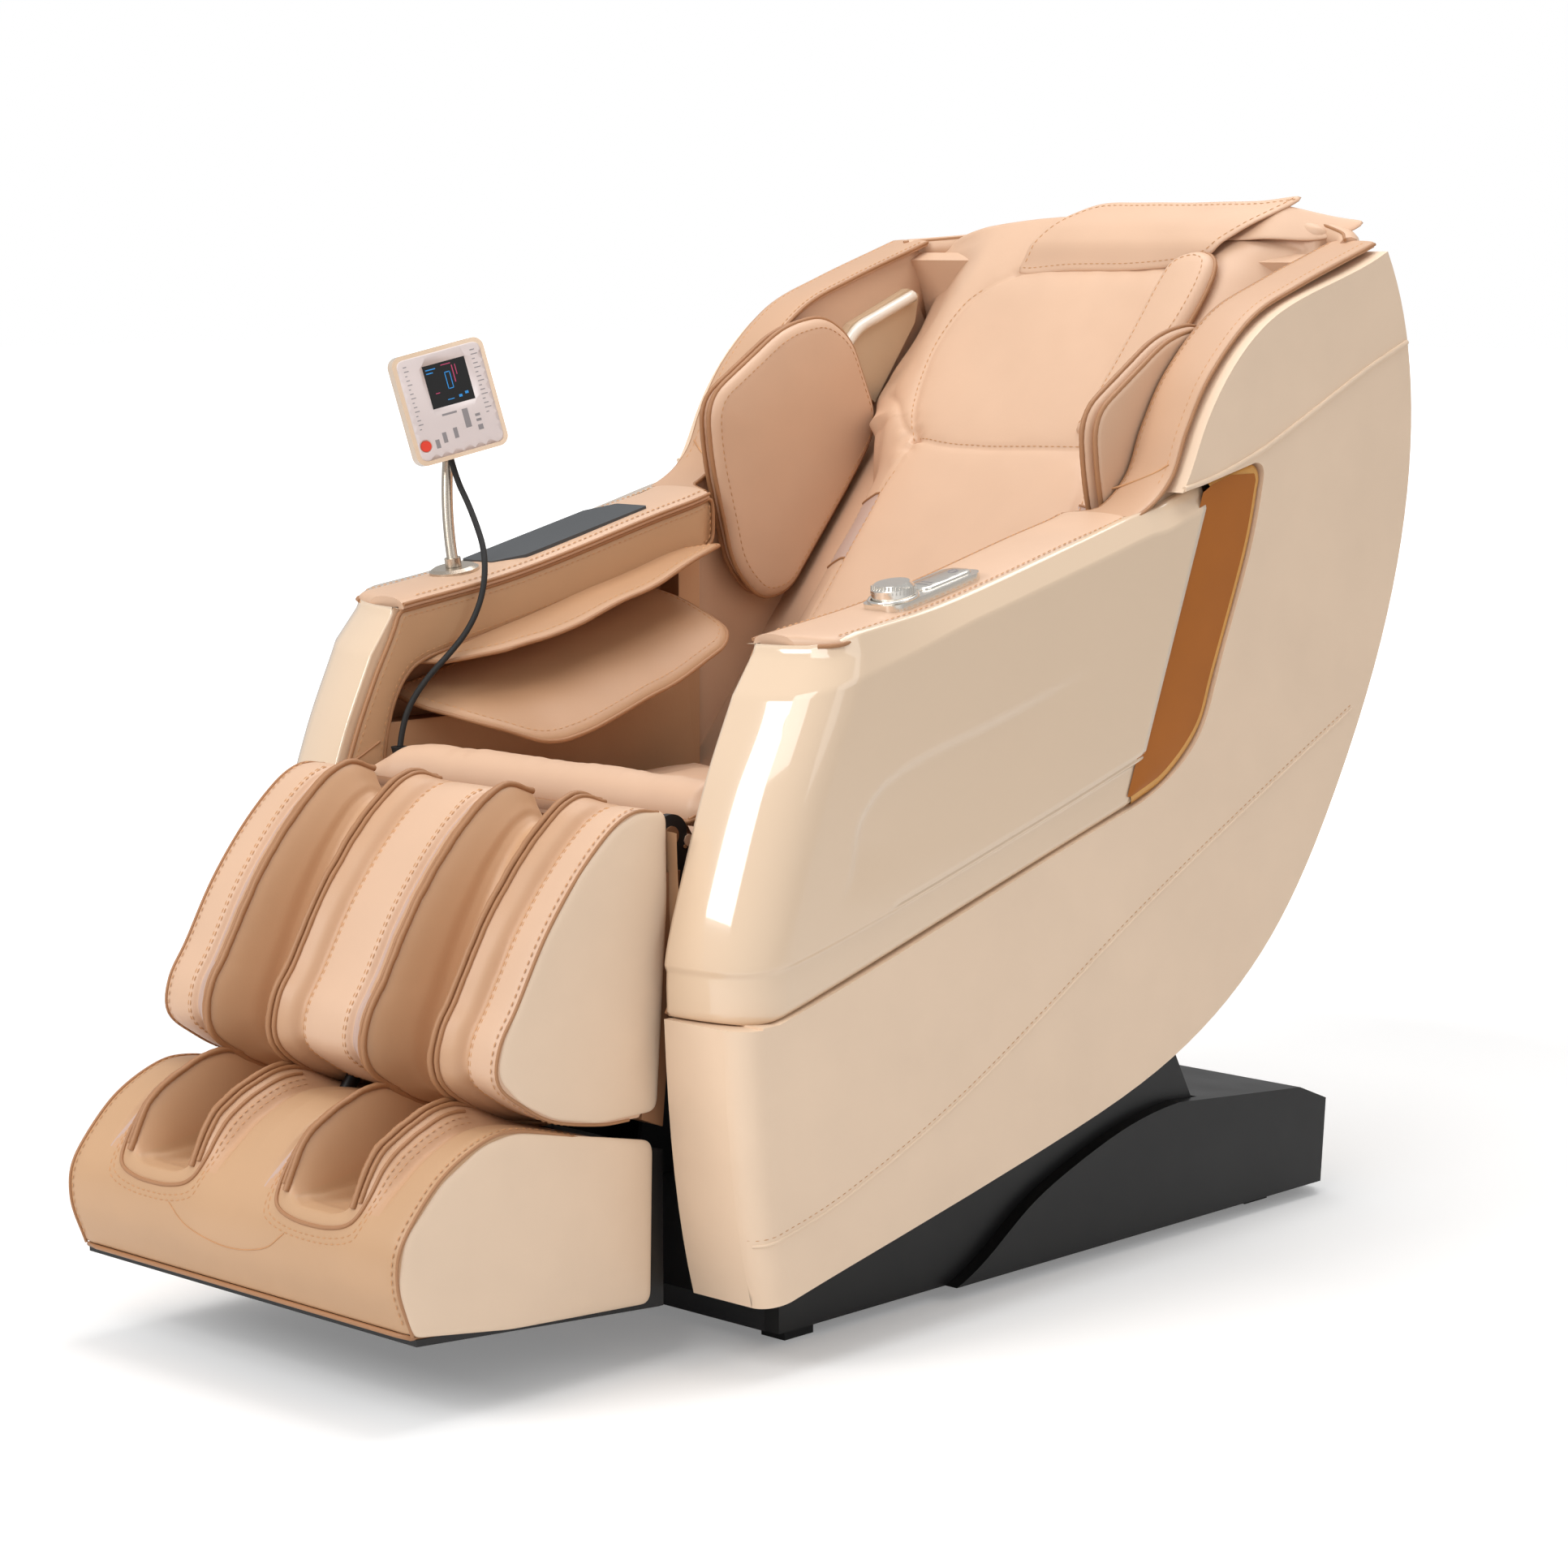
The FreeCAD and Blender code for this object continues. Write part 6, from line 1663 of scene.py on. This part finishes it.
UPPER_WELT = [(282, 865), (330, 874), (390, 886), (470, 911), (540, 940), (620, 975), (681, 1001),
              (751, 1027)]
LOWER_SEAM = [(-352, 141), (-316, 147), (-207, 177), (-17, 257), (255, 406), (500, 528), (655, 602)]


def accent_panel(faces, bevel, sign):
    """Amber panel behind the arm cover, from the cover's rear edge to its own bevelled rim."""
    edge = flat(ACCENT_REAR, 60) + flat(ACCENT_TOP, 14)
    inner = offset(edge, 9.0)
    rows = []
    for part in range(41):
        level = 541 + 345 * part / 40
        start = cover_rear(level) - 10 + 44 * ease((level - 872) / 14)
        end = max(lookup(inner[:62], level, 1), start + 1)
        rows.append([spot(sign * (392.6 + 0.6 * math.sin(math.pi * step / 8)),
                          start + (end - start) * step / 8, level) for step in range(9)])
    faces.grid(rows, flip=sign < 0)
    rings = ((374, edge), (389.6, edge), (391.8, offset(edge, 4.0)), (392.7, inner),
             (391.0, offset(edge, 16.0)))
    bevel.grid([[spot(sign * x, p.x, p.y) for p in ring] for x, ring in rings], flip=sign > 0)


class CHAIR_OT_shell_trim(bpy.types.Operator):
    """Seams of the leather on the side shells, and the lacquered accent panels"""

    bl_idname = "chair.shell_trim"
    bl_label = "Shell trim"

    def execute(self, context):
        faces, bevel = Shape(), Shape()
        for side, sign in SIDES:
            shell = OnShell("side_shell_" + side, sign)
            shape = Shape()
            shape.tube(shell.line(UPPER_WELT, 200, -0.2), 0.0032)
            shape.tube(shell.line(LOWER_SEAM, 240, -0.6), 0.0021)
            beside = [(a + 1.5, b + 6.5) for a, b in LOWER_SEAM]
            shape.stitches(shell.line(beside, 240, 0.1), Vector((sign, 0, 0)))
            settle(shape.build("shell_seams_" + side, ["cream", "thread"]), "capsule", "cream_leather")
            accent_panel(faces, bevel, sign)
        settle(faces.build("accent_faces", ["amber"]), "capsule", "amber_panel", "accent_panels")
        # painted highlight: the bevel is a lighter amber than the panel
        settle(bevel.build("accent_bevels", ["amber_light"]), "capsule", "amber_panel")
        return {"FINISHED"}


TABLET_ACROSS = Vector((0.40, 0.88, 0.24)).normalized()
TABLET_OUT = TABLET_ACROSS.cross(Vector((-0.20, -0.22, 0.95))).normalized()
TABLET_UP = TABLET_OUT.cross(TABLET_ACROSS)
# Lift, material number and rectangles of the small marks: left edge, lower edge, width, height
MARKS = ((1.0, 0, ((-14, -14, 18, 2.4), (-20, -44, 5, 12), (-6, -42, 5, 12), (10, -34, 7, 22),
                   (24, -24, 6, 3), (24, -30, 6, 3), (24, -40, 6, 6), (-30, -48, 5, 10))),
         (0.15, 1, ((-19, 36, 8, 1.2), (-19, 40, 12, 1.2), (20, 4, 4, 3), (12, 2, 4, 3), (-2, 2, 8, 1.0),
                    (2, 14, 1.0, 20), (8, 14, 1.0, 20), (2, 33, 7, 1.0), (2, 14, 7, 1.0))),
         (0.15, 2, ((12, 20, 1.2, 20), (16, 28, 1.0, 12), (-14, 12, 5, 1.0), (0, 42, 12, 1.0))))


def on_tablet(a, b, h):
    """Point of the tablet's face: across, up, and out of it."""
    place = Vector((-336, -100, 962)) + TABLET_ACROSS * a + TABLET_UP * b + TABLET_OUT * (10 + h)
    return spot(place.x, place.y, place.z)


def circle(a, b, radius, turn, count):
    """Points round a middle, at steps of one angle."""
    return [(a + radius * math.cos(turn * step), b + radius * math.sin(turn * step)) for step in range(count)]


def tablet_face():
    """Faceplate round the screen and key, with rows of dashes at its sides and small marks."""
    face, marks = Shape(), Shape()
    screen = [(-22, -4), (30, -4), (30, 46), (-22, 46)]
    outline = rounded([(-51, -59), (51, -59), (51, 59), (-51, 59)], 10)
    panel = Panel(outline, 0.9, 1.6, 0, 20, holes=[screen, circle(-42, -42, 7, 0.4, 16)])
    panel.add(face, on_tablet, 6.0)
    settle(face.build("tablet_faceplate", ["faceplate"]), "tablet", "tablet_rose")
    for number in range(15):
        for a, wide in ((-44, 6), (38, 8)):
            wide *= 0.7 + 0.3 * math.sin(number * 2.1)
            marks.bar(on_tablet, a, 50 - 5.2 * number, wide, 1.1, 1.0, 0)
    for lift, paint, boxes in MARKS:
        for a, b, wide, high in boxes:
            marks.bar(on_tablet, a, b, wide, high, lift, paint)
    settle(marks.build("tablet_marks", ["mark", "blue", "rose"]), "tablet", "tablet_rose")


def control_plate():
    """Raised tier of the control plate, the ring round its knob and its printed marks."""
    plate = OnShell("control_plate", 1)
    near, far = plate.drop(334, -10), plate.drop(334, 30)
    slope = (far.z - near.z) / (far.y - near.y)

    def on_plate(a, b, h):
        return spot(a, b, (near.z + (b + 10) * slope * MM) / MM + h)

    tier = Shape()
    outline = rounded([(317, -48), (351, -48), (351, 30), (317, 30)], 12)
    Panel(outline, 2.6, 3.0, 0.4, 16).add(tier, on_plate, 5.0)
    tier.tube([on_plate(a, b, 1.5) for a, b in circle(334, -80, 25.5, 0.1257, 50)], 0.0021, closed=True)
    tier.tube([on_plate(a, b, 3.0) for a, b in circle(334, 14, 5, 0.35, 18)], 0.0007, 1, closed=True)
    for b in (-36, -28):
        tier.bar(on_plate, 326, b, 16, 1.4, 3.15, 1)
    settle(tier.build("control_plate_tier", ["satin", "mark"]), "capsule", "satin_metal")


def knob_ribs():
    """Fine ribs round the control knob."""
    crest = OnShell("control_knob", 1).drop(334, -80)
    ribs = Shape()
    for x, y in circle(crest.x, crest.y, 0.0229, math.tau / 36, 36):
        ribs.tube([Vector((x, y, crest.z - low)) for low in (0.0125, 0.0085, 0.004)], 0.0009)
    settle(ribs.build("control_knob_ribs", ["satin"]), "control_knob", "satin_metal")


def speaker_strips():
    """Light strip along each loudspeaker panel."""
    strips = Shape()
    for _, sign in SIDES:
        line = flat([(520, 1000), (556, 1040), (600, 1059), (664, 1083)], 40)
        strips.tube([spot(sign * 309.0, p.x + 6, p.y - 9) for p in line], 0.0078)
    settle(strips.build("speaker_strips", ["ivory"]), "capsule", "champagne_plastic")


class CHAIR_OT_tablet_face(bpy.types.Operator):
    """Face of the tablet with its marks, trim of the control plate and knob, and the loudspeaker strips"""

    bl_idname = "chair.tablet_face"
    bl_label = "Tablet face and fittings"

    def execute(self, context):
        tablet_face()
        control_plate()
        knob_ribs()
        speaker_strips()
        return {"FINISHED"}


# Frame nodes that stay visible, by finish

KEPT = {
    "dark_steel": ("base_pan", "pivot_posts", "seat_frame", "guide_rails"),
    "black": ("side_skirts", "rear_cover", "power_inlet", "power_switch", "control_box", "air_pump",
              "massage_carriage", "foot_shell", "tablet_screen"),
    "rubber": ("base_feet", "transport_wheels", "kneading_wheels", "sole_rollers", "cord_grommet"),
    # painted shade: the calf shell, seen only in the gaps round the calf rest, takes the dark shaded leather
    "dark_tan": ("calf_shell",),
    "steel": ("recline_drive_body", "recline_drive_rod", "leg_drive_body", "leg_drive_rod"),
    "charger": ("charging_pad",),
    "metal": ("stand_base", "stand_arm"),
    "satin": ("control_plate", "control_knob"),
    "champagne": ("tablet_housing",),
    "red": ("tablet_button",),
    "cream": ("back_shell", "side_shell_left", "side_shell_right"),
    "beige": ("speaker_panels",),
}


class CHAIR_OT_frame_finish(bpy.types.Operator):
    """Finishes on the frame nodes that stay visible"""

    bl_idname = "chair.frame_finish"
    bl_label = "Frame finishes"

    def execute(self, context):
        for key, nodes in KEPT.items():
            for node in nodes:
                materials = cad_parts[node].data.materials
                materials.clear()
                materials.append(MATERIALS[key])
        # Where the back shell shows above the upholstery, its front is leather
        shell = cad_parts["back_shell"]
        shell.data.materials.append(MATERIALS["tan"])
        turn = shell.matrix_world.to_3x3()
        for polygon in shell.data.polygons:
            if (turn @ polygon.normal).y < 0.35:
                polygon.material_index = 1
        return {"FINISHED"}


STEPS = (CHAIR_OT_stage, CHAIR_OT_frame_finish, CHAIR_OT_tablet_cord, CHAIR_OT_calf_rest,
         CHAIR_OT_foot_rest, CHAIR_OT_leg_sides, CHAIR_OT_leather_edges, CHAIR_OT_arm_boxes,
         CHAIR_OT_arm_flaps, CHAIR_OT_back_rest, CHAIR_OT_head, CHAIR_OT_side_walls, CHAIR_OT_seat,
         CHAIR_OT_side_pads, CHAIR_OT_arm_covers, CHAIR_OT_shell_trim, CHAIR_OT_tablet_face)


class CHAIR_PT_panel(bpy.types.Panel):
    """Lists the steps that build the chair"""

    bl_idname = "CHAIR_PT_panel"
    bl_label = "Massage chair"
    bl_space_type = "VIEW_3D"
    bl_region_type = "UI"
    bl_category = "Chair"

    def draw(self, context):
        for step in STEPS:
            self.layout.operator(step.bl_idname)


CLASSES = (ChairFinish, ChairSizes) + STEPS + (CHAIR_PT_panel,)
MATERIALS = {}


def register():
    for thing in CLASSES:
        bpy.utils.register_class(thing)
    bpy.types.Scene.chair_finish = bpy.props.PointerProperty(type=ChairFinish)
    bpy.types.Scene.chair_sizes = bpy.props.PointerProperty(type=ChairSizes)


def unregister():
    del bpy.types.Scene.chair_finish
    del bpy.types.Scene.chair_sizes
    for thing in reversed(CLASSES):
        bpy.utils.unregister_class(thing)


def main():
    register()
    MATERIALS.update(build_materials())
    for step in STEPS:
        group, name = step.bl_idname.split(".")
        getattr(getattr(bpy.ops, group), name)()
    bpy.context.view_layer.update()


if __name__ == "__main__":
    main()
